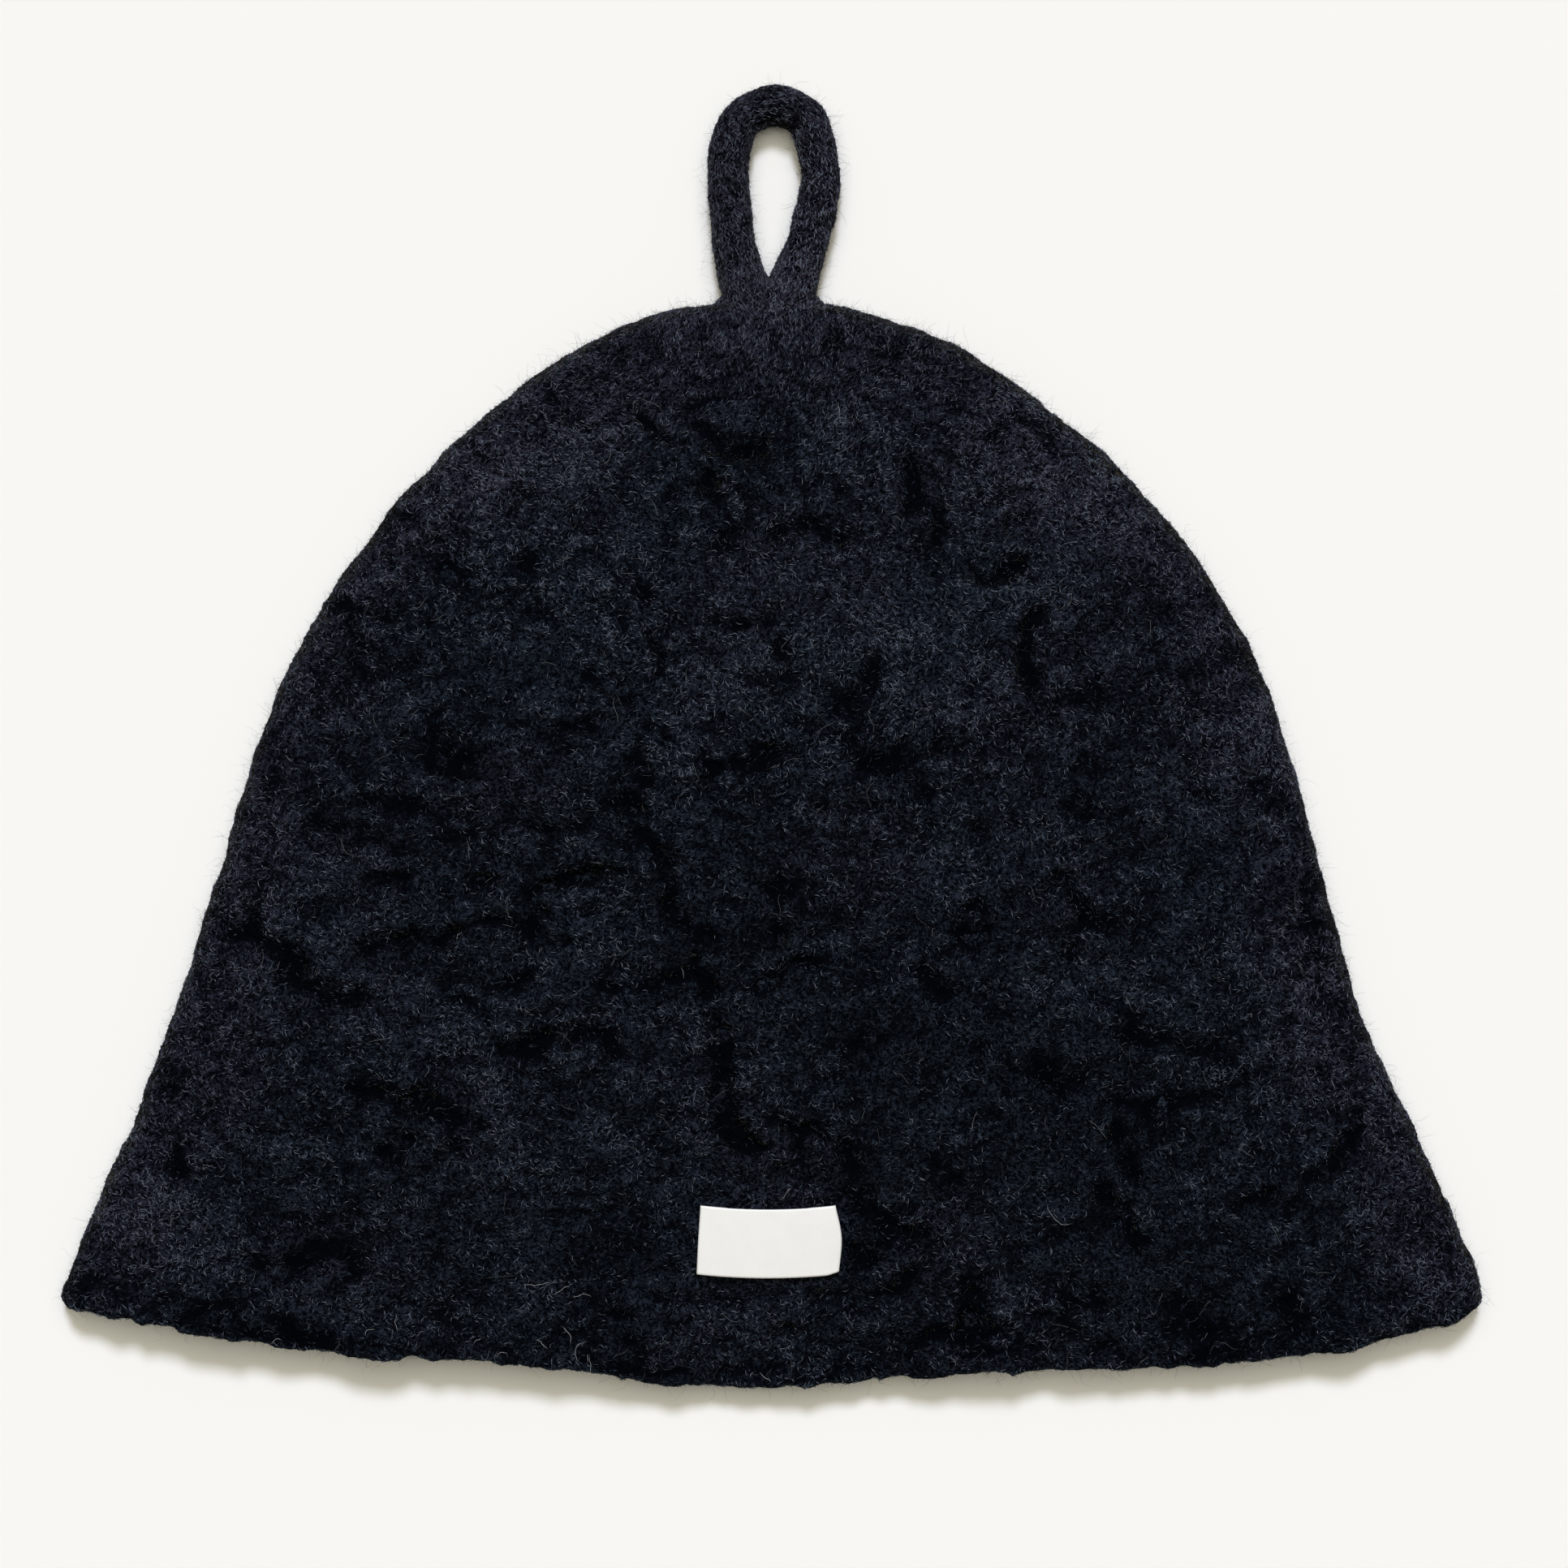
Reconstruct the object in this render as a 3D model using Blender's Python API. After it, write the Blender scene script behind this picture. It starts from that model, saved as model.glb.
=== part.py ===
"""A wet-felted sauna hat, lying flat on its back wall with its label facing up.

X runs across the hat, +Y from its hem to its hanging loop, and +Z up from the surface that it lies on.
The origin is on that surface, under the middle of the hat's box. All sizes are in metres.
"""

import math

import bmesh
import bpy
import numpy as np

# Felt cap
HEM_WIDTH = 0.350  # across the hem, from corner to corner
CROWN_LENGTH = 0.268  # from the top of the crown to the middle of the hem
HEM_DROP = 0.0205  # how far the middle of the hem hangs past its corners
FELT_WALL = 0.003
FOLD_THICKNESS = 0.011  # both walls and the gap between them, at the fold along the sides
DOME_LIFT = 0.015  # how far the front wall domes up above the fold
DOME_REACH = 0.095  # how far in from the fold the dome levels off

# Hanging loop
LOOP_REACH = 0.0525  # from the top of the crown to the outside of the loop
LOOP_WIDTH = 0.033  # across the outside of the loop
CORD_DIAMETER = 0.010
ROOT_REACH = 0.005  # how far above the crown the two legs are felted together

# Sewn label
LABEL_WIDTH = 0.035
LABEL_HEIGHT = 0.017
LABEL_THICKNESS = 0.001  # a ribbon with its ends folded under
LABEL_ABOVE_HEM = 0.026
LABEL_ACROSS = -0.0005  # from the hat's middle line to the label's
LABEL_BOW = 0.0009  # how far the ribbon's long edges bow towards the hem

TOUCH_GAP = 0.0003  # between pieces that touch

# How finely the pieces are meshed
FOLD_ROWS = 76  # along the fold, from one corner of the hem round the crown to the other
FOLD_STEPS = 3  # round the fold's edge, over each wall
FRONT_STEPS = 18  # from the fold's edge in to the spine, the line from the crown to the hem's middle
BACK_STEPS = 6
SPINE_TOP = 0.17  # where the spine begins, as a share of the crown's length
SPINE_EASE = 0.8  # below 1, the rows meet the spine closer together towards the hem
HEM_EASE = 8  # how soon the rows take the hem's line as they near it
CORD_SIDES = 12
CORD_RINGS = 40
ROOT_SIDES = 20
LABEL_COLUMNS = 10
LABEL_ROWS = 5
CURVE_STEPS = 24  # between two points of a table's curve

# The fold's line in plan. down is a share of the side's length, left and right of half the hem's width.
OUTLINE_COLUMNS = ("down", "left", "right")
OUTLINE = (
    (0.000, 0.000, 0.000),
    (0.012, 0.135, 0.125),
    (0.043, 0.252, 0.240),
    (0.107, 0.388, 0.389),
    (0.204, 0.530, 0.546),
    (0.330, 0.648, 0.662),
    (0.460, 0.733, 0.736),
    (0.590, 0.786, 0.781),
    (0.720, 0.847, 0.835),
    (0.850, 0.919, 0.923),
    (0.965, 0.988, 0.990),
    (1.000, 1.000, 1.000),
)

# The hem's line in plan. across is a share of half the hem's width, drop of the hem's drop.
HEM_COLUMNS = ("across", "drop")
HEM = (
    (-1.00, 0.00),
    (-0.96, 0.13),
    (-0.83, 0.34),
    (-0.60, 0.64),
    (-0.37, 0.72),
    (-0.14, 0.95),
    (0.00, 1.00),
    (0.20, 0.88),
    (0.43, 0.80),
    (0.66, 0.72),
    (0.89, 0.44),
    (0.97, 0.24),
    (1.00, 0.00),
)

# How much of the dome's lift the front wall has, going down the hat as a share of the crown's length.
DOME_COLUMNS = ("down", "lift")
DOME = ((0.00, 0.20), (0.22, 0.75), (0.48, 1.00), (0.75, 0.66), (0.93, 0.22), (1.00, 0.13))

# Dents and lumps of the front wall. across is a share of half the hem's width, down, length and breadth
# of the crown's length, depth of the felt's wall, and turn is in degrees from +X. A lump has depth below 0.
DENT_COLUMNS = ("across", "down", "length", "breadth", "depth", "turn")
DENTS = (
    (-0.16, 0.50, 0.080, 0.026, 0.62, -73),
    (-0.07, 0.70, 0.075, 0.026, 0.62, -78),
    (0.01, 0.37, 0.070, 0.024, 0.50, -86),
    (0.02, 0.56, 0.060, 0.024, 0.50, 84),
    (-0.46, 0.59, 0.090, 0.024, 0.48, 9),
    (-0.30, 0.69, 0.080, 0.024, 0.48, -3),
    (-0.49, 0.75, 0.070, 0.024, 0.48, -13),
    (0.17, 0.43, 0.070, 0.024, 0.45, 2),
    (0.38, 0.34, 0.060, 0.024, 0.50, -77),
    (0.58, 0.70, 0.065, 0.024, 0.50, -4),
    (-0.65, 0.62, 0.055, 0.024, 0.50, -37),
    (0.51, 0.86, 0.065, 0.026, 0.45, -50),
    (-0.08, 0.12, 0.045, 0.024, 0.40, -75),
    (0.06, 0.22, 0.050, 0.024, 0.45, 0),
    (-0.46, 0.96, 0.150, 0.080, -0.55, 0),
    (0.56, 0.97, 0.130, 0.080, -0.30, 0),
)

# The loop's centre line. across is a share of half its width between centres, along of its reach to the
# centre of the cord, and girth of the cord's diameter.
LOOP_COLUMNS = ("across", "along", "girth")
LOOP = (
    (-0.44, -0.10, 0.80),
    (-0.59, 0.07, 1.06),
    (-0.76, 0.23, 1.06),
    (-0.86, 0.44, 1.00),
    (-0.92, 0.63, 1.00),
    (-0.80, 0.83, 1.00),
    (-0.54, 0.935, 1.00),
    (0.05, 1.000, 1.00),
    (0.65, 0.935, 1.00),
    (0.93, 0.82, 0.97),
    (1.08, 0.64, 0.92),
    (0.97, 0.47, 1.00),
    (0.74, 0.25, 1.04),
    (0.46, 0.07, 1.06),
    (0.34, -0.10, 0.80),
)

# The felted root of the loop. along is a share of its reach, width of the breadth over both legs, and
# thickness of the cord's diameter.
ROOT_COLUMNS = ("along", "width", "thickness")
ROOT = ((-1.2, 1.24, 0.92), (0.0, 1.12, 1.00), (0.4, 1.02, 1.04), (0.8, 0.96, 1.00), (1.2, 0.66, 0.66))

FELT_COLOUR = (0.012, 0.014, 0.020, 1.0)
LOOP_COLOUR = (0.016, 0.018, 0.024, 1.0)
LABEL_COLOUR = (0.86, 0.85, 0.82, 1.0)

HALF_WIDTH = HEM_WIDTH / 2
SIDE_LENGTH = CROWN_LENGTH - HEM_DROP
FOLD_RADIUS = FOLD_THICKNESS / 2
CROWN_TOP = (CROWN_LENGTH - LOOP_REACH) / 2  # the box of cap and loop has its middle at Y 0
HEM_MIDDLE = CROWN_TOP - CROWN_LENGTH


def column(table, names, name):
    return np.array([row[names.index(name)] for row in table], float)


def smooth_line(points):
    """A fine line along a smooth curve through the given points."""
    points = np.asarray(points, float)
    ends = np.vstack([2 * points[0] - points[1], points, 2 * points[-1] - points[-2]])
    t = np.linspace(0, 1, CURVE_STEPS, endpoint=False)[:, None]
    spans = []
    for a, b, c, d in zip(ends[:-3], ends[1:-2], ends[2:-1], ends[3:]):
        spans.append((2 * b + (c - a) * t + (2 * a - 5 * b + 4 * c - d) * t**2 + (3 * b - a - 3 * c + d) * t**3) / 2)
    return np.vstack([*spans, points[-1:]])


def evenly(line, steps):
    """Points at even steps of plan length along a line, with its two ends."""
    length = np.concatenate([[0], np.cumsum(np.linalg.norm(np.diff(line[:, :2], axis=0), axis=1))])
    wanted = np.linspace(0, length[-1], steps + 1)
    return np.column_stack([np.interp(wanted, length, values) for values in line.T])


def smooth_steps(value, at, heights):
    """The heights of a smooth curve that passes through the given heights at the given places."""
    cell = np.clip(np.searchsorted(at, value, side="right") - 1, 0, len(at) - 2)
    t = np.clip((value - at[cell]) / (at[cell + 1] - at[cell]), 0, 1)
    slopes = np.gradient(heights, at)
    width = at[cell + 1] - at[cell]
    return (
        heights[cell] * (2 * t**3 - 3 * t**2 + 1)
        + heights[cell + 1] * (3 * t**2 - 2 * t**3)
        + slopes[cell] * width * (t**3 - 2 * t**2 + t)
        + slopes[cell + 1] * width * (t**3 - t**2)
    )


def fold_line():
    """The fold in plan, from the left corner of the hem round the crown to the right corner."""
    down = column(OUTLINE, OUTLINE_COLUMNS, "down") * SIDE_LENGTH
    left = column(OUTLINE, OUTLINE_COLUMNS, "left") * HALF_WIDTH
    right = column(OUTLINE, OUTLINE_COLUMNS, "right") * HALF_WIDTH
    xs = np.concatenate([-left[::-1], right[1:]])
    ys = CROWN_TOP - np.concatenate([down[::-1], down[1:]])
    fine = smooth_line(np.column_stack([xs, ys]))
    top = (len(OUTLINE) - 1) * CURVE_STEPS
    return np.vstack([evenly(fine[: top + 1], FOLD_ROWS // 2), evenly(fine[top:], FOLD_ROWS // 2)[1:]])


def fold_distance(x, y):
    """How far each point of the plan lies in from the fold."""
    line = fold_line()
    nearest = np.full(np.shape(x), np.inf)
    for (ax, ay), (bx, by) in zip(line[:-1], line[1:]):
        t = np.clip(((x - ax) * (bx - ax) + (y - ay) * (by - ay)) / ((bx - ax) ** 2 + (by - ay) ** 2), 0, 1)
        nearest = np.minimum(nearest, np.hypot(x - ax - t * (bx - ax), y - ay - t * (by - ay)))
    return nearest


def dent_depth(x, y):
    """How far the dents sink the front wall at each point of the plan."""
    depth = np.zeros(np.shape(x))
    for row in DENTS:
        across, down, length, breadth, share, turn = row
        dx = x - across * HALF_WIDTH
        dy = y - (CROWN_TOP - down * CROWN_LENGTH)
        angle = math.radians(turn)
        along = (dx * math.cos(angle) + dy * math.sin(angle)) / (length * CROWN_LENGTH)
        beside = (dy * math.cos(angle) - dx * math.sin(angle)) / (breadth * CROWN_LENGTH)
        depth += share * FELT_WALL * np.exp(-(along**2) - beside**2)
    return depth


def fold_rise(distance):
    """The fold's round edge: how far the outer face stands above or below the fold's mid height."""
    short = FOLD_RADIUS - np.minimum(distance, FOLD_RADIUS)
    return np.sqrt(np.maximum(FOLD_RADIUS**2 - short**2, 0))


def front_height(x, y):
    """The height of the front wall's outer face."""
    distance = fold_distance(x, y)
    level = np.clip(distance / DOME_REACH, 0, 1)
    lift = smooth_steps(
        (CROWN_TOP - y) / CROWN_LENGTH,
        column(DOME, DOME_COLUMNS, "down"),
        column(DOME, DOME_COLUMNS, "lift"),
    )
    dome = DOME_LIFT * lift * (1 - (1 - level) ** 2)
    ease = np.clip(distance / FOLD_THICKNESS, 0, 1)
    return FOLD_RADIUS + fold_rise(distance) + dome - dent_depth(x, y) * ease


def back_height(x, y):
    """The height of the back wall's outer face, which is flat where the hat lies on it."""
    return FOLD_RADIUS - fold_rise(fold_distance(x, y))


def plan_grid(steps):
    """Plan points of one wall, in rows that lead from the fold in to the spine.

    A point is O + (1 - w) t L n + w (across, along), where O is on the fold, n leads in from it, L is the
    distance to the row's end on the spine, and (across, along) is t of the way there. w grows with t, and
    is 1 at the hem, whose drop the row follows. The crown's middle three rows all end at the spine's top.
    """
    line = fold_line()
    travel = np.gradient(line, axis=0)
    travel /= np.linalg.norm(travel, axis=1)[:, None]
    edge = FOLD_RADIUS * (1 - np.cos(np.linspace(0, math.pi / 2, FOLD_STEPS + 1)))
    hem_across = column(HEM, HEM_COLUMNS, "across")
    hem_drop = column(HEM, HEM_COLUMNS, "drop")
    rows = []
    for place, fold, forward in zip(np.linspace(-1, 1, FOLD_ROWS + 1), line, travel):
        past_top = max(abs(place) * FOLD_ROWS - 2, 0) / (FOLD_ROWS - 2)
        down = SPINE_TOP + (1 - SPINE_TOP) * past_top**SPINE_EASE
        to_spine = np.array([0, CROWN_TOP - down * CROWN_LENGTH]) - fold
        length = np.hypot(*to_spine)
        t = np.concatenate([edge[:-1] / length, np.linspace(edge[-1] / length, 1, steps + 1)])
        hem = abs(place) ** HEM_EASE
        drop = smooth_steps(math.copysign(1, place) * (1 - t), hem_across, hem_drop)
        w = t + (1 - t) * hem
        inward = np.outer((1 - w) * t * length, (forward[1], -forward[0]))
        chord = np.column_stack([t, (1 - hem) * t + hem * drop]) * to_spine
        rows.append(fold + inward + w[:, None] * chord)
    return np.array(rows)


def cap_sheet(name):
    """The outer face of the felt cap, open at its hem, as a mesh object whose faces point outwards."""
    bm = bmesh.new()
    for steps, height, turned in ((FRONT_STEPS, front_height, False), (BACK_STEPS, back_height, True)):
        plan = plan_grid(steps)
        heights = height(plan[..., 0], plan[..., 1])
        heights[:, 0] = FOLD_RADIUS
        grid = [[bm.verts.new((*p, z)) for p, z in zip(row, zs)] for row, zs in zip(plan, heights)]
        for row, after in zip(grid[:-1], grid[1:]):
            for k in range(len(row) - 1):
                corners = (row[k], row[k + 1], after[k + 1], after[k])
                bm.faces.new(corners[::-1] if turned else corners)
    bmesh.ops.remove_doubles(bm, verts=bm.verts, dist=1e-6)
    return finished(bm, name)


def finished(bm, name):
    """A mesh object in the scene from a bmesh, shaded smooth."""
    mesh = bpy.data.meshes.new(name)
    bm.to_mesh(mesh)
    bm.free()
    mesh.shade_smooth()
    obj = bpy.data.objects.new(name, mesh)
    bpy.context.scene.collection.objects.link(obj)
    return obj


def material(name, colour, roughness):
    made = bpy.data.materials.new(name)
    made.use_nodes = True
    shader = made.node_tree.nodes["Principled BSDF"]
    shader.inputs["Base Color"].default_value = colour
    shader.inputs["Roughness"].default_value = roughness
    shader.inputs["Metallic"].default_value = 0.0
    return made


def make_felt_cap():
    """The cap: one felt wall all round, folded at the sides and open at the hem."""
    cap = cap_sheet("felt_cap")
    wall = cap.modifiers.new("felt wall", "SOLIDIFY")
    wall.thickness = FELT_WALL
    wall.offset = -1
    wall.use_even_offset = True
    cap.data.materials.append(material("black felt", FELT_COLOUR, 0.95))
    return cap


def make_cap_cutter():
    """The cap's outer form, closed at the hem and grown by the gap that touching pieces keep."""
    cutter = cap_sheet("cap_cutter")
    bm = bmesh.new()
    bm.from_mesh(cutter.data)
    bmesh.ops.holes_fill(bm, edges=[edge for edge in bm.edges if edge.is_boundary])
    bmesh.ops.recalc_face_normals(bm, faces=bm.faces)
    bm.to_mesh(cutter.data)
    bm.free()
    grow = cutter.modifiers.new("touch gap", "DISPLACE")
    grow.strength = TOUCH_GAP
    grow.mid_level = 0
    cutter.hide_render = True
    cutter.display_type = "WIRE"
    return cutter


def lofted(name, rings):
    """A closed solid through rings of equal point counts, with a flat face at each end."""
    bm = bmesh.new()
    made = [[bm.verts.new(point) for point in ring] for ring in rings]
    count = len(made[0])
    for lower, upper in zip(made[:-1], made[1:]):
        for k in range(count):
            after = (k + 1) % count
            bm.faces.new((lower[k], lower[after], upper[after], upper[k]))
    bm.faces.new(made[0])
    bm.faces.new(made[-1])
    bmesh.ops.recalc_face_normals(bm, faces=bm.faces)
    return finished(bm, name)


def cord_rings():
    """Round sections of the felted cord, square to its line, which settles from the fold to the surface."""
    radius = CORD_DIAMETER / 2
    across = column(LOOP, LOOP_COLUMNS, "across") * (LOOP_WIDTH - CORD_DIAMETER) / 2
    along = column(LOOP, LOOP_COLUMNS, "along") * (LOOP_REACH - radius)
    girth = column(LOOP, LOOP_COLUMNS, "girth") * radius
    line = evenly(smooth_line(np.column_stack([across, CROWN_TOP + along, girth])), CORD_RINGS)
    lying = np.clip((line[:, 1] - CROWN_TOP) / (LOOP_REACH - radius), 0, 1)
    heights = np.maximum(line[:, 2], FOLD_RADIUS + (radius - FOLD_RADIUS) * lying)
    directions = np.gradient(line[:, :2], axis=0)
    angles = np.linspace(0, 2 * math.pi, CORD_SIDES, endpoint=False)
    rings = []
    for (x, y, size), height, direction in zip(line, heights, directions):
        beside = np.array([direction[1], -direction[0]]) / np.hypot(*direction)
        rings.append(
            [
                (x + size * math.cos(a) * beside[0], y + size * math.cos(a) * beside[1], height + size * math.sin(a))
                for a in angles
            ]
        )
    return rings


def root_rings():
    """Oval sections of the felted root, stacked away from the crown."""
    angles = np.linspace(0, 2 * math.pi, ROOT_SIDES, endpoint=False)
    left_leg, right_leg = (LOOP[k][0] * (LOOP_WIDTH - CORD_DIAMETER) / 2 for k in (1, -2))
    middle = (left_leg + right_leg) / 2
    breadth = right_leg - left_leg + CORD_DIAMETER
    rings = []
    for along, width, thickness in ROOT:
        rings.append(
            [
                (
                    middle + width * breadth / 2 * math.cos(a),
                    CROWN_TOP + along * ROOT_REACH,
                    FOLD_RADIUS + thickness * CORD_DIAMETER / 2 * math.sin(a),
                )
                for a in angles
            ]
        )
    return rings


def make_hanging_loop(cap_cutter):
    """The loop: a felted cord whose two legs run into one root, seated on the crown's fold."""
    loop = lofted("hanging_loop", cord_rings())
    root = lofted("loop_root", root_rings())
    root.hide_render = True
    root.display_type = "WIRE"
    for name, operation, other in (("felted root", "UNION", root), ("seat on crown", "DIFFERENCE", cap_cutter)):
        change = loop.modifiers.new(name, "BOOLEAN")
        change.operation = operation
        change.solver = "EXACT"
        change.object = other
    loop.data.materials.append(material("black felt cord", LOOP_COLOUR, 0.95))
    return loop


def make_sewn_label():
    """The label: a short ribbon that follows the front wall above the hem."""
    xs = LABEL_ACROSS + np.linspace(-LABEL_WIDTH / 2, LABEL_WIDTH / 2, LABEL_COLUMNS + 1)
    low = HEM_MIDDLE + LABEL_ABOVE_HEM
    ys = np.linspace(low, low + LABEL_HEIGHT, LABEL_ROWS + 1)
    bm = bmesh.new()
    layers = []
    for lift in (TOUCH_GAP, TOUCH_GAP + LABEL_THICKNESS):
        grid = []
        for y in ys:
            bow = LABEL_BOW * (1 - ((xs - LABEL_ACROSS) / (LABEL_WIDTH / 2)) ** 2)
            heights = front_height(xs, y - bow) + lift
            grid.append([bm.verts.new(point) for point in zip(xs, y - bow, heights)])
        layers.append(grid)
    under, over = layers
    for row in range(LABEL_ROWS):
        for col in range(LABEL_COLUMNS):
            for grid in layers:
                bm.faces.new((grid[row][col], grid[row][col + 1], grid[row + 1][col + 1], grid[row + 1][col]))
    edge_under = [*under[0], *[r[-1] for r in under[1:]], *under[-1][-2::-1], *[r[0] for r in under[-2:0:-1]]]
    edge_over = [*over[0], *[r[-1] for r in over[1:]], *over[-1][-2::-1], *[r[0] for r in over[-2:0:-1]]]
    for k in range(len(edge_under)):
        after = (k + 1) % len(edge_under)
        bm.faces.new((edge_under[k], edge_under[after], edge_over[after], edge_over[k]))
    bmesh.ops.recalc_face_normals(bm, faces=bm.faces)
    label = finished(bm, "sewn_label")
    label.data.set_sharp_from_angle(angle=math.radians(40))
    label.data.materials.append(material("white ribbon", LABEL_COLOUR, 0.6))
    return label


def main():
    for obj in list(bpy.data.objects):
        bpy.data.objects.remove(obj)
    make_felt_cap()
    make_hanging_loop(make_cap_cutter())
    make_sewn_label()


main()
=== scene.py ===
import math

import bpy
import numpy as np
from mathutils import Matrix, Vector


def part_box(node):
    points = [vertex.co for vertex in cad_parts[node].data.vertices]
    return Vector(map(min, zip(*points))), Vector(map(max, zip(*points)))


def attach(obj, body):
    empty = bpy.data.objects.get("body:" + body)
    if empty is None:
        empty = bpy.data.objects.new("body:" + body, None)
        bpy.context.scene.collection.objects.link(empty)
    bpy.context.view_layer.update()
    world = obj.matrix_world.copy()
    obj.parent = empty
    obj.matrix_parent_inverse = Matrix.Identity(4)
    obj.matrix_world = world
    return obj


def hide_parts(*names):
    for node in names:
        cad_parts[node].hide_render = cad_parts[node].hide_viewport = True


# A wet-felted sauna hat that lies flat on its back wall. X runs across it, +Y from its hem to its loop.
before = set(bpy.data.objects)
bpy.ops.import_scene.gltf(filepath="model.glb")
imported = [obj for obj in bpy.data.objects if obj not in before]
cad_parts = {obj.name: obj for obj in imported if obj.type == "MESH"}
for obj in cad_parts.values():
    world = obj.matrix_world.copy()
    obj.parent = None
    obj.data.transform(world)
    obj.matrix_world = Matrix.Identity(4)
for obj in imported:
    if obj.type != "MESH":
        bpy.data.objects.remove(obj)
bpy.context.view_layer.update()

mm = 0.001
up = np.array([0.0, 0.0, 1.0])
rng = np.random.default_rng(7)

capLow, capHigh = (np.array(corner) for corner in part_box("felt_cap"))
loopLow, loopHigh = (np.array(corner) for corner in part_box("hanging_loop"))
labelLow, labelHigh = (np.array(corner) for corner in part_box("sewn_label"))
halfWidth = (capHigh[0] - capLow[0]) / 2
crownTop = capHigh[1]
crownLength = capHigh[1] - capLow[1]

cap = {
    "hemDrop": 21.5 * mm,  # from the fold's lower ends down to the lowest place of the hem
    "wall": 3 * mm,
    "foldRadius": 5.5 * mm,  # half of both walls and the gap between them, at the fold
    "domeLift": 15 * mm,
    "domeReach": 95 * mm,
    "spineTop": 0.17,  # where the rows' ends begin, going down the middle line
    "spineEase": 0.8,
    "hemEase": 8,
    "outerRows": 440,  # along the fold, from corner to corner
    "foldSteps": 6,  # round the fold's edge, on each wall
    "frontSteps": 108,
    "backSteps": 30,
    "innerRows": 160,
    "innerSteps": 22,
    "rimSteps": 6,
    "cornerCut": (0.9 * mm, 0.2 * mm),  # how much the hem's left and right corners are rounded off
    "cornerReach": 3 * mm,
    "cornerAside": 0.4,  # the sideways share of that
    "lineRows": 120,  # of the fold's line where distances are measured
    "innerStart": 1.2 * mm,  # how far inside the rim the coarser inner wall begins
    "rimUneven": ((0.3, 1.9 * mm, 61), (0.35, 5 * mm, 62)),  # shares, lattice sizes and seeds of noises
    "rimRange": (0.5, 1.5),
    # painted shade on the round rim along the hem, which faces away from the light
    "rimShade": 0.3,
    "calmReach": 8 * mm,  # how far in from the fold the relief reaches its full height
    "calm": (0.45, 0.55),  # its height at the fold, and what it gains inwards
    "underCalm": (1 * mm, 0.5),  # below this height the relief has this share
    "labelDent": 0.4 * mm,
    "fuzz": (15000, 1400),  # how many short and long fibres
}

# the fold's line: share of the side's length, then of half the hem's width to the left and to the right
outline = np.array([
    (0.000, 0.000, 0.000), (0.012, 0.135, 0.125), (0.043, 0.252, 0.240), (0.107, 0.386, 0.384),
    (0.204, 0.525, 0.537), (0.330, 0.647, 0.659), (0.460, 0.731, 0.731), (0.590, 0.782, 0.779),
    (0.720, 0.843, 0.835), (0.850, 0.912, 0.918), (0.965, 0.984, 0.988), (1.000, 1.000, 1.000),
])
# the hem's line: share of half its width, then of its drop
hemLine = np.array([
    (-1.00, 0.00), (-0.96, 0.06), (-0.83, 0.27), (-0.60, 0.60), (-0.37, 0.69), (-0.14, 0.95), (0.00, 1.00),
    (0.20, 0.88), (0.43, 0.78), (0.66, 0.70), (0.89, 0.38), (0.97, 0.15), (1.00, 0.00),
])
# the dome: share of the crown's length, then of the lift
domeLine = np.array([(0.00, 0.20), (0.22, 0.75), (0.48, 1.00), (0.75, 0.66), (0.93, 0.22), (1.00, 0.13)])

# the broad swells under the hem's edge: across, down, length, breadth and height, in mm
swells = [(15, 262, 85, 18, -2.2), (-140, 250, 30, 18, 1.7)]

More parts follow.
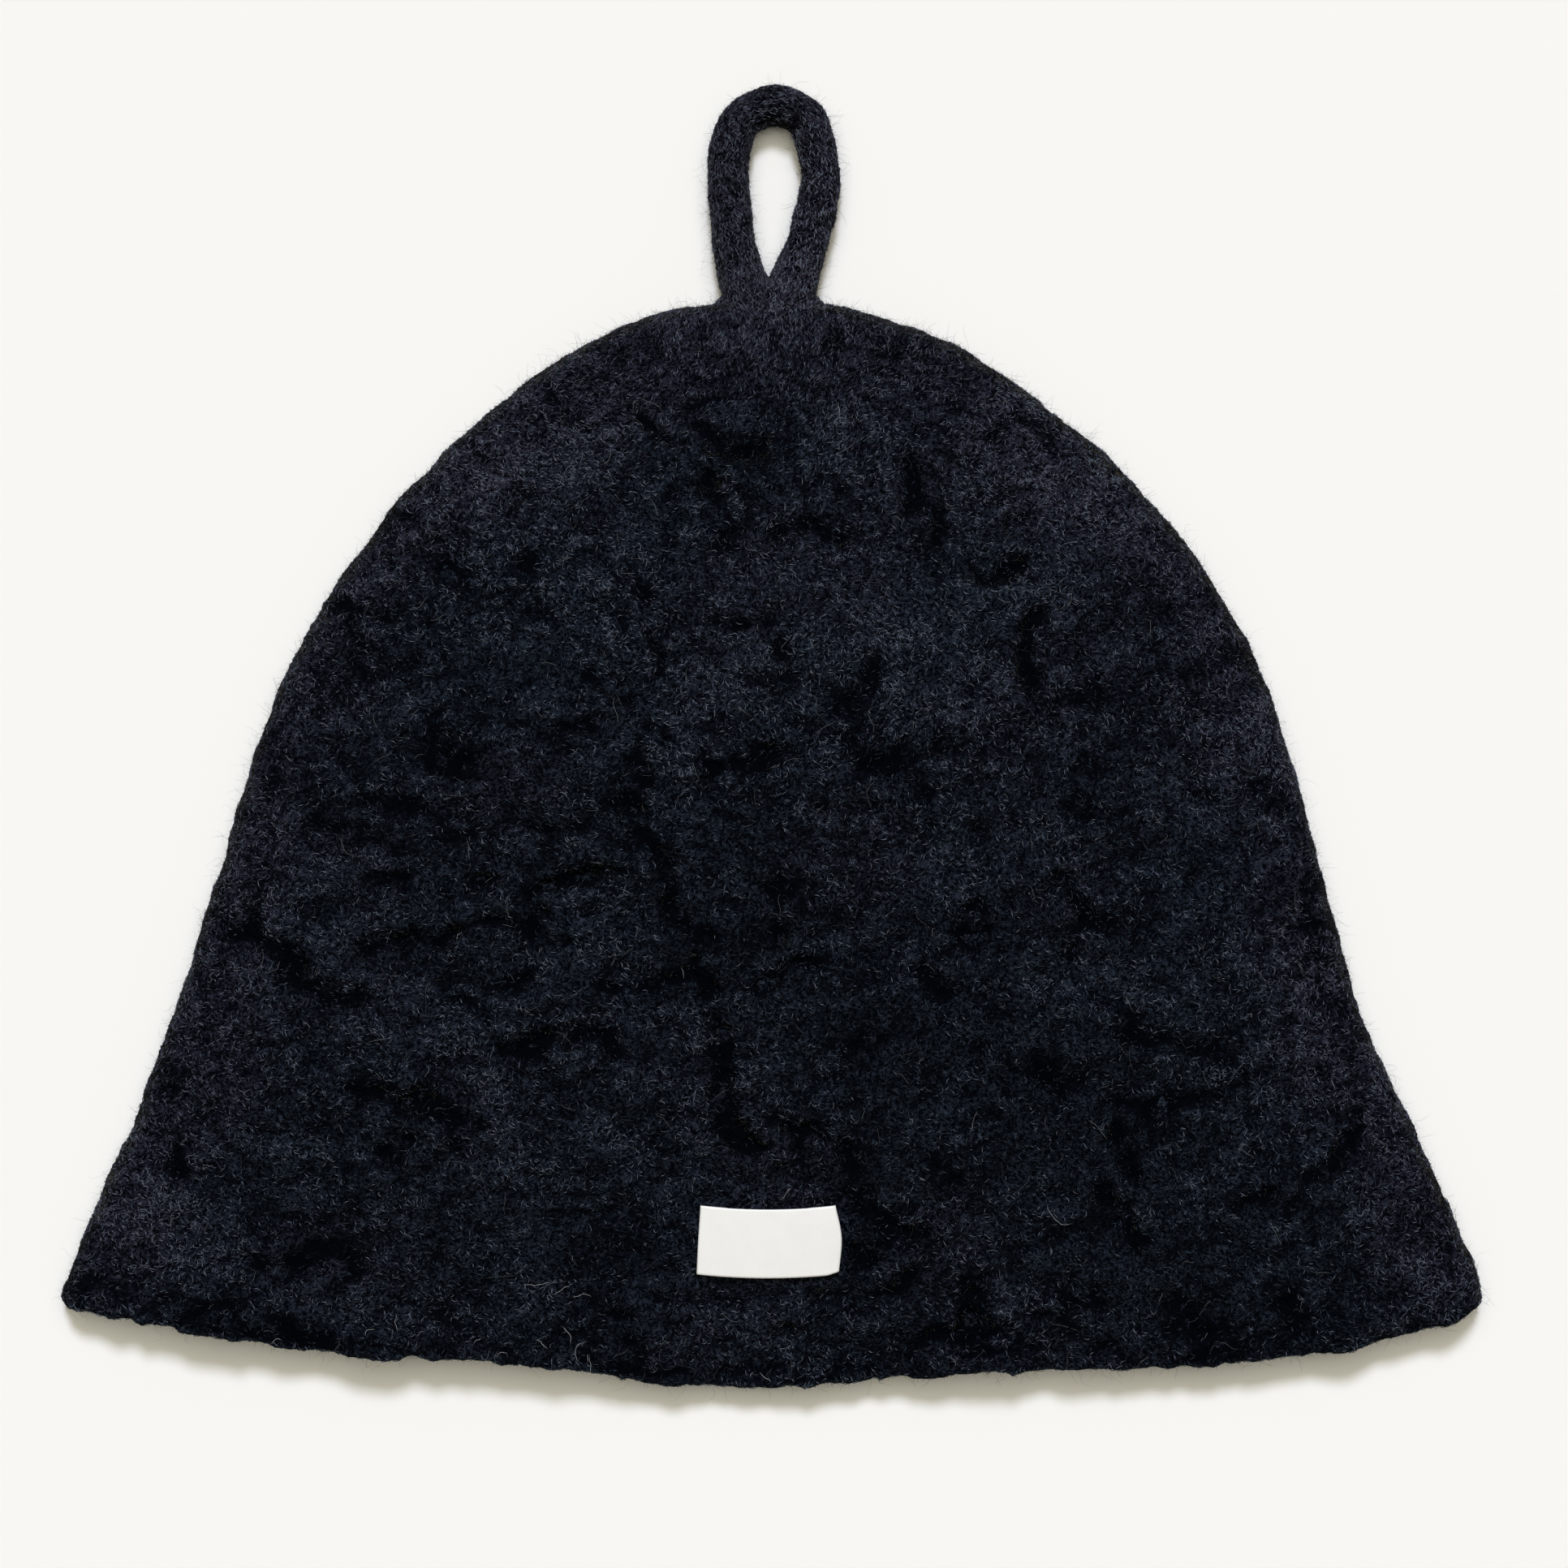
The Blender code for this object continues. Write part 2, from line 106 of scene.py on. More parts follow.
# creases of the front wall, each a bow through three places: across and down from the crown's top, then
# its half width and its depth, all in mm
creases = [
    (-18, 25, -17, 31, -15, 36, 2.2, 1.2), (-16, 36, -10, 39, -4, 38, 2.6, 1.9),
    (-15, 47, -12, 51, -10, 57, 3.0, 1.6), (-31, 28, -29, 32, -26, 35, 1.8, 1.0),
    (-47, 43, -45, 49, -40, 53, 2.0, 1.0), (-62, 46, -61, 48, -59, 51, 1.6, 0.9),
    (-95, 56, -90, 55, -84, 58, 3.0, 1.0), (-83, 62, -79, 67, -75, 70, 3.2, 1.3),
    (-110, 77, -104, 77, -98, 78, 3.0, 1.0), (-102, 82, -101, 88, -101, 94, 2.2, 1.0),
    (-63, 76, -58, 77, -54, 76, 2.6, 1.3), (-68, 64, -64, 66, -60, 65, 2.6, 0.9),
    (-35, 66, -34, 70, -31, 74, 2.2, 1.2), (-29, 84, -28, 88, -29, 93, 1.5, 1.2),
    (-46, 93, -40, 96, -36, 100, 1.8, 1.2), (-36, 99, -31, 105, -25, 112, 1.4, 0.8),
    (-53, 106, -49, 107, -44, 106, 2.0, 1.5), (-84, 98, -83, 102, -82, 107, 2.2, 1.1),
    (-91, 111, -87, 113, -83, 112, 2.8, 1.2), (-82, 110, -80, 114, -75, 115, 3.0, 2.0),
    (-33, 112, -33, 117, -31, 121, 2.0, 1.8), (-38, 123, -34, 127, -33, 134, 3.6, 2.2),
    (-13, 118, -6, 115, -1, 112, 3.0, 1.9), (-80, 134, -60, 131, -38, 131, 1.3, 0.8),
    (-112, 126, -105, 130, -100, 131, 2.2, 1.3), (-100, 123, -95, 126, -88, 126, 2.2, 1.0),
    (0, 59, 8, 56, 19, 59, 2.4, 1.9), (34, 39, 35, 46, 35, 52, 2.6, 1.5),
    (42, 52, 43, 55, 41, 59, 2.4, 1.5), (50, 66, 56, 68, 65, 62, 2.2, 1.9),
    (49, 52, 54, 51, 60, 48, 1.6, 1.0), (59, 56, 61, 55, 63, 54, 1.6, 1.1),
    (54, 35, 61, 30, 68, 36, 1.6, 1.1), (37, 62, 39, 65, 41, 68, 2.0, 1.3),
    (15, 45, 17, 46, 19, 46, 2.6, 1.2), (66, 78, 63, 87, 64, 99, 2.0, 2.1),
    (66, 101, 68, 105, 70, 107, 2.0, 1.1), (72, 100, 77, 99, 79, 98, 2.8, 1.7),
    (92, 70, 95, 75, 97, 80, 2.6, 1.2), (17, 101, 22, 98, 25, 93, 3.0, 1.5),
    (21, 111, 26, 116, 33, 113, 2.4, 1.8), (24, 104, 25, 107, 27, 109, 2.0, 1.4),
    (33, 112, 40, 111, 46, 110, 2.2, 1.6), (36, 117, 37, 119, 38, 122, 2.4, 1.5),
    (79, 117, 82, 116, 85, 115, 2.4, 1.4), (119, 121, 124, 124, 128, 126, 3.0, 0.8),
    (87, 127, 88, 128, 89, 129, 2.6, 1.3), (73, 124, 76, 125, 78, 127, 2.4, 1.2),
    (42, 132, 50, 131, 57, 129, 2.2, 1.4), (1, 84, 3, 88, 4, 92, 2.0, 1.2),
    (-20, 79, -10, 80, 1, 79, 1.6, 1.2), (-128, 152, -125, 159, -117, 164, 2.0, 1.9),
    (-120, 162, -116, 168, -103, 173, 2.6, 2.0), (-135, 153, -134, 156, -131, 158, 2.0, 1.2),
    (-139, 171, -136, 172, -134, 174, 2.6, 1.3), (-99, 160, -89, 158, -78, 156, 1.8, 1.6),
    (-78, 156, -68, 154, -60, 157, 1.5, 1.2), (-60, 155, -55, 153, -49, 158, 1.6, 1.3),
    (-80, 170, -71, 171, -59, 169, 1.9, 1.6), (-60, 148, -53, 144, -41, 144, 2.0, 1.8),
    (-73, 144, -70, 144, -67, 145, 1.8, 1.3), (-66, 185, -60, 184, -51, 182, 2.4, 1.9),
    (-51, 182, -45, 181, -38, 186, 2.6, 1.9), (-103, 194, -95, 197, -85, 198, 2.2, 2.0),
    (-86, 198, -81, 202, -73, 203, 2.4, 1.9), (-99, 210, -95, 211, -90, 208, 2.6, 1.7),
    (-79, 209, -77, 209, -76, 210, 2.0, 1.3), (-113, 216, -105, 215, -97, 213, 1.6, 1.1),
    (-145, 209, -146, 213, -145, 217, 1.9, 1.2), (-117, 238, -110, 234, -103, 239, 3.0, 1.9),
    (-127, 238, -126, 238, -124, 239, 2.2, 1.4), (-126, 231, -125, 231, -124, 232, 2.2, 1.1),
    (-83, 250, -80, 255, -79, 258, 2.4, 1.2), (-77, 244, -75, 242, -72, 240, 1.8, 1.0),
    (-100, 143, -95, 144, -88, 145, 1.6, 0.9), (-152, 190, -149, 192, -145, 194, 3.2, 0.8),
    (-168, 231, -166, 234, -163, 239, 3.6, 0.9), (-142, 252, -128, 256, -108, 257, 2.8, 0.9),
    (-27, 136, -24, 146, -22, 153, 2.6, 1.8), (-23, 151, -21, 155, -14, 158, 3.0, 2.0),
    (2, 143, 2, 150, 1, 159, 2.2, 1.8), (6, 144, 7, 147, 7, 151, 2.0, 1.4),
    (-1, 171, 3, 166, 11, 165, 1.9, 1.5), (-19, 166, -14, 174, -13, 182, 2.4, 1.9),
    (-13, 180, -12, 189, -12, 197, 2.8, 2.2), (-12, 196, -11, 203, -5, 208, 2.8, 2.2),
    (4, 205, 7, 205, 9, 206, 3.2, 2.2), (-41, 171, -30, 169, -21, 169, 1.9, 1.3),
    (22, 184, 24, 185, 26, 186, 3.0, 1.3), (38, 166, 41, 171, 45, 171, 2.6, 1.7),
    (45, 157, 48, 158, 51, 157, 2.6, 1.6), (50, 150, 51, 150, 52, 151, 1.8, 1.2),
    (18, 211, 19, 213, 20, 215, 2.2, 1.5), (42, 213, 43, 215, 44, 217, 2.8, 1.5),
    (22, 222, 25, 225, 27, 227, 2.8, 1.7), (21, 236, 28, 232, 38, 231, 2.4, 1.7),
    (22, 237, 24, 238, 26, 237, 2.8, 1.5), (30, 244, 34, 242, 37, 239, 2.2, 1.3),
    (50, 242, 50, 248, 51, 255, 3.2, 2.1), (38, 256, 49, 255, 60, 258, 2.6, 1.1),
    (61, 189, 66, 190, 70, 194, 2.6, 1.8), (-37, 251, -35, 253, -34, 257, 1.8, 1.2),
    (71, 143, 75, 149, 77, 153, 2.2, 1.8), (76, 154, 80, 155, 84, 155, 2.2, 1.5),
    (72, 161, 72, 162, 73, 163, 2.2, 1.4), (86, 182, 97, 184, 113, 187, 2.8, 1.4),
    (84, 198, 97, 199, 117, 192, 1.9, 2.0), (84, 205, 86, 211, 92, 217, 2.2, 1.8),
    (82, 222, 87, 228, 91, 234, 2.8, 2.0), (115, 225, 120, 222, 129, 222, 2.0, 2.0),
    (129, 217, 137, 215, 143, 203, 2.0, 1.9), (73, 244, 78, 247, 83, 245, 2.8, 1.9),
    (65, 251, 69, 250, 73, 250, 2.0, 1.4), (100, 245, 101, 252, 107, 257, 2.4, 1.2),
    (127, 246, 127, 249, 129, 252, 2.4, 1.3), (68, 231, 69, 232, 70, 233, 2.4, 1.2),
    (75, 191, 76, 192, 77, 193, 2.4, 1.2), (110, 230, 111, 231, 112, 232, 2.4, 1.1),
    (131, 145, 132, 150, 133, 155, 3.4, 0.9), (135, 164, 137, 169, 139, 174, 3.0, 0.8),
]

# the loop's line: share of half the width between the cord's middles, of the reach, and of the cord's radius
loopLine = np.array([
    (-0.44, -0.10, 0.80), (-0.55, 0.035, 1.15), (-0.76, 0.23, 1.06), (-0.86, 0.44, 1.00), (-0.92, 0.63, 1.00),
    (-0.82, 0.83, 0.98), (-0.57, 0.940, 0.95), (0.05, 1.000, 1.00), (0.68, 0.940, 0.95), (0.93, 0.82, 0.97),
    (1.08, 0.64, 0.92), (0.97, 0.47, 1.00), (0.74, 0.25, 1.04), (0.42, 0.035, 1.17), (0.34, -0.10, 0.80),
])
# the loop's felted root: share of its reach, of the breadth over both legs, and of the cord's radius
rootLine = np.array([
    (-1.20, 1.46, 0.90), (-0.35, 1.28, 0.98), (0.10, 1.06, 1.00), (0.45, 0.97, 1.04), (0.65, 0.85, 1.00),
    (0.80, 0.50, 0.60),
])


# a shader socket, so that expressions such as 1 - mask * 0.5 add their Math nodes
class Wire:
    def __init__(self, tree, socket=None):
        self.tree = tree
        self.socket = socket

    # any node: its type, its settings, which are set first, and the values or wires of its sockets
    def node(self, kind, settings, sockets, out=0):
        made = self.tree.nodes.new(kind)
        for name, value in settings.items():
            setattr(made, name, value)
        for name, value in sockets.items():
            if isinstance(value, Wire):
                self.tree.links.new(value.socket, made.inputs[name])
            else:
                made.inputs[name].default_value = value
        return Wire(self.tree, made.outputs[out])

    def maths(self, operation, first, second):
        return self.node("ShaderNodeMath", {"operation": operation}, {0: first, 1: second})

    def __add__(self, other):
        return self.maths("ADD", self, other)

    def __radd__(self, other):
        return self.maths("ADD", other, self)

    def __sub__(self, other):
        return self.maths("SUBTRACT", self, other)

    def __rsub__(self, other):
        return self.maths("SUBTRACT", other, self)

    def __mul__(self, other):
        return self.maths("MULTIPLY", self, other)

    def __rmul__(self, other):
        return self.maths("MULTIPLY", other, self)

    def __abs__(self):
        return self.maths("ABSOLUTE", self, 0)

    def atLeast(self, other):
        return self.maths("MAXIMUM", self, other)

    def atMost(self, other):
        return self.maths("MINIMUM", self, other)


def mixColours(factor, first, second):
    return factor.node("ShaderNodeMix", {"data_type": "RGBA"}, {0: factor, 6: first, 7: second}, out=2)


def clouds(place, scale, detail, roughness=0.5, out="Fac"):
    sockets = {"Vector": place, "Scale": scale, "Detail": detail, "Roughness": roughness}
    return place.node("ShaderNodeTexNoise", {}, sockets, out)


# 0 below the first value, 1 above the second and a straight slope between
def slope(value, low, high):
    return value.node("ShaderNodeMapRange", {}, {"Value": value, "From Min": low, "From Max": high})


def join(wire, socket):
    wire.tree.links.new(wire.socket, socket)


# a Principled material whose given sockets hold constants; wires join it afterwards
def newMaterial(name, colour, roughness, specular):
    made = bpy.data.materials.new(name)
    made.use_nodes = True
    shader = made.node_tree.nodes["Principled BSDF"]
    shader.inputs["Base Color"].default_value = (*colour, 1)
    shader.inputs["Roughness"].default_value = roughness
    shader.inputs["Specular IOR Level"].default_value = specular
    return made, shader


feltLook = {
    "dark": (0.0007, 0.0013, 0.0030),
    "light": (0.0345, 0.0460, 0.0675),
    "rimLight": (0.0495, 0.0505, 0.0780),  # nearer the fold and the crown
    # painted reflection: the warm light that the pale floor throws onto the fold, given as a colour
    "edgeBounceLight": (0.0950, 0.0880, 0.0740),  # along the fold itself
    "edgeReach": 1.6 * mm,
    "cordLight": (0.0505, 0.0465, 0.0690),
    "fibreAcross": 1900,  # fibres to the metre, across and along them
    "fibreAlong": 420,
    "turns": (4, 52, 131),
    "thin": 9.0,
    "curl": 260.0,  # curls to the metre
    "wander": 1.8 * mm,  # how far the fibres curl aside
    "speck": 1250.0,  # specks and clumps to the metre
    "clump": 300.0,
    "speckRange": (0.40, 0.62),  # noise values between which specks and clumps grow
    "clumpRange": (0.36, 0.62),
    "clumpShare": (0.3, 0.7),  # what fibre shows between the clumps, and what they add
    "bump": 0.4 * mm,
    "roughness": (0.88, 0.1),  # the least, and what the clumps add
}


# a fibre layer: noise drawn out along one direction, and 1 where its value is near one half
def fibreLayer(place, turn):
    stretch = (feltLook["fibreAlong"], feltLook["fibreAcross"], feltLook["fibreAcross"])
    turned = {"Vector": place, "Rotation": (0, 0, math.radians(turn)), "Scale": stretch}
    drawn = clouds(place.node("ShaderNodeMapping", {}, turned), 1.0, 1.0, 0.6)
    return (1 - abs(drawn - 0.5) * feltLook["thin"]).atLeast(0)


# felt: crossing layers of curled fibres over a darker ground, in specks and clumps, darkened by painted shade
# and tone
def feltMaterial(name, light, rimLight):
    made, shader = newMaterial(name, feltLook["dark"], 0.95, 0.02)
    place = Wire(made.node_tree).node("ShaderNodeTexCoord", {}, {}, "Object")
    curl = clouds(place, feltLook["curl"], 1.0, out="Color")
    centred = place.node("ShaderNodeVectorMath", {"operation": "SUBTRACT"}, {0: curl, 1: (0.5, 0.5, 0.5)})
    scaled = {0: centred, "Scale": 2 * feltLook["wander"]}
    moved = place.node("ShaderNodeVectorMath", {"operation": "SCALE"}, scaled)
    curled = place.node("ShaderNodeVectorMath", {"operation": "ADD"}, {0: place, 1: moved})
    fibres = None
    for turn in feltLook["turns"]:
        layer = fibreLayer(curled, turn)
        fibres = layer if fibres is None else fibres.atLeast(layer)
    specks, patches = (clouds(curled, feltLook[kind], 2.0, 0.6) for kind in ("speck", "clump"))
    speckled = slope(specks, *feltLook["speckRange"])
    patchy = slope(patches, *feltLook["clumpRange"])
    shadeAndTone, rim = (
        place.node("ShaderNodeAttribute", {"attribute_name": mark}, {}, "Fac") for mark in ("shadeAndTone", "rim")
    )
    least, more = feltLook["clumpShare"]
    # the mark darkens the felt: painted shade in creases, cracks, hollows and along the hem, and the felt's
    # own darker tone
    shown = (fibres * speckled * (least + more * patchy) * (1 - shadeAndTone)).atMost(1)
    fibreColour = mixColours(rim, (*light, 1), (*rimLight, 1))
    # where the rim mark passes 1, the fold gets the painted reflection of the floor's light
    fibreColour = mixColours(rim - 1, fibreColour, (*feltLook["edgeBounceLight"], 1))
    join(mixColours(shown, (*feltLook["dark"], 1), fibreColour), shader.inputs["Base Color"])
    height = 0.5 * fibres + speckled + 0.5 * patchy
    bump = {"Strength": 1.0, "Distance": feltLook["bump"], "Height": height}
    join(place.node("ShaderNodeBump", {}, bump), shader.inputs["Normal"])
    least, more = feltLook["roughness"]
    join(least + more * patches, shader.inputs["Roughness"])
    return made


# mesh from points and one or more arrays of faces; attribute values are one number for each point
def newPiece(name, points, faces, material, attributes=None, smooth=True):
    mesh = bpy.data.meshes.new(name)
    sizes = np.concatenate([np.full(len(part), part.shape[1]) for part in faces])
    corners = np.concatenate([part.ravel() for part in faces])
    mesh.vertices.add(len(points))
    mesh.vertices.foreach_set("co", np.asarray(points, np.float32).ravel())
    mesh.loops.add(len(corners))
    mesh.loops.foreach_set("vertex_index", corners.astype(np.int32))
    mesh.polygons.add(len(sizes))
    mesh.polygons.foreach_set("loop_start", (np.cumsum(sizes) - sizes).astype(np.int32))
    mesh.update(calc_edges=True)
    if smooth:
        mesh.shade_smooth()
    for key, values in (attributes or {}).items():
        layer = mesh.attributes.new(key, "FLOAT", "POINT")
        layer.data.foreach_set("value", np.asarray(values, np.float32))
    piece = bpy.data.objects.new(name, mesh)
    bpy.context.scene.collection.objects.link(piece)
    piece.data.materials.append(material)
    return piece


# 1 in the middle, falling off on both sides as a bell
def bell(away, reach):
    return np.exp(-((away / reach) ** 2))


def smoothStep(t):
    return t * t * (3 - 2 * t)


def unit(vectors):
    return vectors / np.maximum(np.linalg.norm(vectors, axis=-1, keepdims=True), 1e-12)


# each point's normal: the mean of its triangles' normals, by their areas
def pointNormals(points, triangles):
    a, b, c = (points[triangles[:, k]] for k in range(3))
    face = np.cross(b - a, c - a)
    sums = np.zeros_like(points)
    for k in range(3):
        for axis in range(3):
            sums[:, axis] += np.bincount(triangles[:, k], face[:, axis], len(points))
    return unit(sums)


latticeAxes = np.array([(0.36, 0.48, -0.80), (-0.80, 0.60, 0.00), (0.48, 0.64, 0.60)])
latticeCells = 64
latticeMiddle = 500.0  # keeps the cells' numbers above 0


# value noise in space: random numbers on a slanting cubic lattice of a size, joined by smooth steps, from
# -1 to 1
def noise(points, size, seed):
    lattice = np.random.default_rng(seed).random((latticeCells,) * 3) * 2 - 1
    spot = points @ latticeAxes / size + latticeMiddle
    cell = np.floor(spot).astype(int)
    t = smoothStep(spot - cell)
    total = 0
    for corner in np.ndindex(2, 2, 2):
        weight = np.prod(np.where(np.array(corner) == 1, t, 1 - t), axis=-1)
        total = total + weight * lattice[tuple(np.moveaxis((cell + corner) % latticeCells, -1, 0))]
    return total


# noises added to a start, each with its share, its lattice size and its seed
def layered(points, start, layers):
    for share, size, seed in layers:
        start = start + share * noise(points, size, seed)
    return start


# fine points along a smooth curve through the given ones
def smoothLine(points, steps=24):
    ends = np.vstack([2 * points[0] - points[1], points, 2 * points[-1] - points[-2]])
    t = np.linspace(0, 1, steps, endpoint=False)[None, :, None]
    a, b, c, d = (ends[k : len(ends) - 3 + k, None, :] for k in range(4))
    spans = (2 * b + (c - a) * t + (2 * a - 5 * b + 4 * c - d) * t**2 + (3 * b - a - 3 * c + d) * t**3) / 2
    return np.vstack([spans.reshape(-1, points.shape[1]), points[-1:]])


# points at even steps of plan length along a line
def evenly(line, steps):
    length = np.concatenate([[0], np.cumsum(np.linalg.norm(np.diff(line[:, :2], axis=0), axis=1))])
    wanted = np.linspace(0, length[-1], steps + 1)
    return np.column_stack([np.interp(wanted, length, values) for values in line.T])


# heights of a smooth curve through the table's rows, each with its own slope
def curveHeights(value, table):
    at, heights = table.T
    cell = np.clip(np.searchsorted(at, value, side="right") - 1, 0, len(at) - 2)
    width = at[cell + 1] - at[cell]
    t = np.clip((value - at[cell]) / width, 0, 1)
    slopes = np.gradient(heights, at)
    return (
        heights[cell] * (2 * t**3 - 3 * t**2 + 1)
        + heights[cell + 1] * (3 * t**2 - 2 * t**3)
        + slopes[cell] * width * (t**3 - 2 * t**2 + t)
        + slopes[cell + 1] * width * (t**3 - t**2)
    )


# the fold in plan, from the hem's left corner round the crown to its right corner
def foldLine(rows):
    down, left, right = outline.T
    sideLength = crownLength - cap["hemDrop"]
    xs = np.concatenate([-left[::-1], right[1:]]) * halfWidth
    ys = crownTop - np.concatenate([down[::-1], down[1:]]) * sideLength
    fine = smoothLine(np.column_stack([xs, ys]))
    top = (len(fine) - 1) // 2
    return np.vstack([evenly(fine[: top + 1], rows // 2), evenly(fine[top:], rows // 2)[1:]])


# how far each place is from a line of straight pieces
def lineDistance(x, y, line):
    nearest = np.full(np.shape(x), np.inf)
    for (ax, ay), (bx, by) in zip(line[:-1], line[1:]):
        t = np.clip(((x - ax) * (bx - ax) + (y - ay) * (by - ay)) / ((bx - ax) ** 2 + (by - ay) ** 2), 0, 1)
        nearest = np.minimum(nearest, np.hypot(x - ax - t * (bx - ax), y - ay - t * (by - ay)))
    return nearest


def foldDistance(x, y):
    return lineDistance(x, y, foldLine(cap["lineRows"]))


# how far the fold's round edge stands off its middle height, at a distance in from the fold
def foldRise(distance):
    short = cap["foldRadius"] - np.minimum(distance, cap["foldRadius"])
    return np.sqrt(np.maximum(cap["foldRadius"] ** 2 - short**2, 0))


# the front wall's height before its creases: the round fold, the dome and the swells at the hem
def frontHeight(x, y):
    distance = foldDistance(x, y)
    level = np.clip(distance / cap["domeReach"], 0, 1)
    lift = curveHeights((crownTop - y) / crownLength, domeLine)
    height = cap["foldRadius"] + foldRise(distance) + cap["domeLift"] * lift * (1 - (1 - level) ** 2)
    for across, down, length, breadth, swell in swells:
        away = ((x / mm - across) / length) ** 2 + (((crownTop - y) / mm - down) / breadth) ** 2
        height = height + swell * mm * np.exp(-away) * np.clip(distance / (2 * cap["foldRadius"]), 0, 1)
    return height


def backHeight(x, y):
    return cap["foldRadius"] - foldRise(foldDistance(x, y))


# plan points of one wall, in rows from the fold in to the spine: O + (1 - w) t L n + w (across, along),
# where O is on the fold, n leads in from it, L is the distance to the spine and w grows with t, to 1 at
# the hem, whose drop the row follows
def planGrid(rows, steps):
    line = foldLine(rows)
    travel = unit(np.gradient(line, axis=0))
    place = np.linspace(-1, 1, rows + 1)
    pastTop = np.maximum(np.abs(place) * rows - 2, 0) / (rows - 2)
    down = cap["spineTop"] + (1 - cap["spineTop"]) * pastTop ** cap["spineEase"]
    spine = np.column_stack([0 * down, crownTop - down * (crownLength - cap["wall"] / 2)])
    toSpine = spine - line
    length = np.linalg.norm(toSpine, axis=1)[:, None]
    edge = cap["foldRadius"] * (1 - np.cos(np.linspace(0, math.pi / 2, cap["foldSteps"] + 1)))
    share = np.linspace(0, 1, steps + 1)
    last = edge[-1] / length
    t = np.hstack([edge[None, :-1] / length, last + (1 - last) * share[None, :]])
    hem = (np.abs(place) ** cap["hemEase"])[:, None]
    drop = curveHeights(np.sign(place + 1e-9)[:, None] * (1 - t), hemLine)
    w = t + (1 - t) * hem
    lead = np.column_stack([travel[:, 1], -travel[:, 0]])[:, None, :]
    inward = ((1 - w) * t * length)[..., None] * lead
    chord = np.stack([t, (1 - hem) * t + hem * drop], axis=-1) * toSpine[:, None, :]
    return line[:, None, :] + inward + w[..., None] * chord


# both walls as one sheet: its points, its triangles and the loop of points along the hem
def capSheet(rows, frontSteps, backSteps):
    points, faces, hems, start = [], [], [], 0
    for steps, height, front in ((frontSteps, frontHeight, True), (backSteps, backHeight, False)):
        plan = planGrid(rows, steps)
        z = height(plan[..., 0], plan[..., 1])
        z[:, 0] = cap["foldRadius"]
        grid = np.arange(z.size).reshape(z.shape) + start
        row = np.arange(rows + 1)
        grid[:, -1] = grid[np.minimum(np.minimum(row, rows - row), rows // 2 - 1), -1]
        if front:
            foldPoints = grid[:, 0].copy()
        else:
            grid[:, 0] = foldPoints
        a, b, c, d = grid[:-1, :-1], grid[:-1, 1:], grid[1:, 1:], grid[1:, :-1]
        made = np.concatenate([np.stack(k, axis=-1).reshape(-1, 3) for k in ((a, b, c), (a, c, d))])
        faces.append(made if front else made[:, ::-1])
        hems.append((grid[0], grid[-1]))
        points.append(np.dstack([plan, z]).reshape(-1, 3))
        start += z.size
    faces = np.concatenate(faces)
    a, b, c = faces.T
    faces = faces[(a != b) & (b != c) & (c != a)]
    (frontLeft, frontRight), (backLeft, backRight) = hems
    hem = np.concatenate([frontLeft, frontRight[-2::-1], backRight[1:], backLeft[-2:0:-1]])
    used, compact = np.unique(faces, return_inverse=True)
    return np.concatenate(points)[used], compact.reshape(-1, 3), np.searchsorted(used, hem)


# the way out of the hem at each of its points: square to the hem and to the wall's normal
def wayOut(loop, normals):
    along = unit(np.roll(loop, -1, axis=0) - np.roll(loop, 1, axis=0))
    return unit(np.cross(along, normals))


# quads between neighbouring rings of point numbers, each ring closed
def ringQuads(rings):
    a, b = rings[:-1], rings[1:]
    return np.stack([a, np.roll(a, -1, axis=1), np.roll(b, -1, axis=1), b], axis=-1).reshape(-1, 4)


# triangles between two closed loops of different counts, each edge joined to the nearest point opposite
def stitch(first, second, firstPoints, secondPoints):
    def middles(points):
        steps = np.linalg.norm(np.roll(points, -1, axis=0) - points, axis=1)
        ends = np.cumsum(steps)
        return (ends - steps / 2) / ends[-1]

    one, two = middles(firstPoints), middles(secondPoints)
    opposite = np.searchsorted(two, one) % len(second)
    facing = np.searchsorted(one, two) % len(first)
    towards = np.column_stack([first, np.roll(first, -1), second[opposite]])
    back = np.column_stack([np.roll(second, -1), second, first[facing]])
    return np.concatenate([towards, back])


# plan places as the camera sees them at the fold's height, which is what the tables above measure
def seen(points):
    closer = view["distance"] / (view["distance"] + cap["foldRadius"] - points[:, 2])
    centre = np.array(view["centre"])
    return centre + (points[:, :2] - centre) * closer[:, None]


creaseLook = {
    "steps": 8,  # straight pieces of each bow
    "reach": 22 * mm,  # from a bow's middle, past which it does nothing
    "lip": 0.4,  # height of the raised lips, as a share of the depth
    "lipAway": 2.1,  # how far out they lie, in half widths
    "lipThin": 1.4,
    "ragged": ((1.6, 6 * mm, 50), (1.3, 2.8 * mm, 54)),  # in mm, lattice size and seed
    "broken": ((1.0, 4.6 * mm, 58), (0.7, 2.2 * mm, 57)),  # share, lattice size and seed
    "brokenStart": 0.85,
    "brokenRange": (0.15, 1.3),
    # painted shade: creases darken with their depth, partly the felt's own matted darkness
    "dark": 1.5 * mm,  # the depth at which the felt is darkest
}


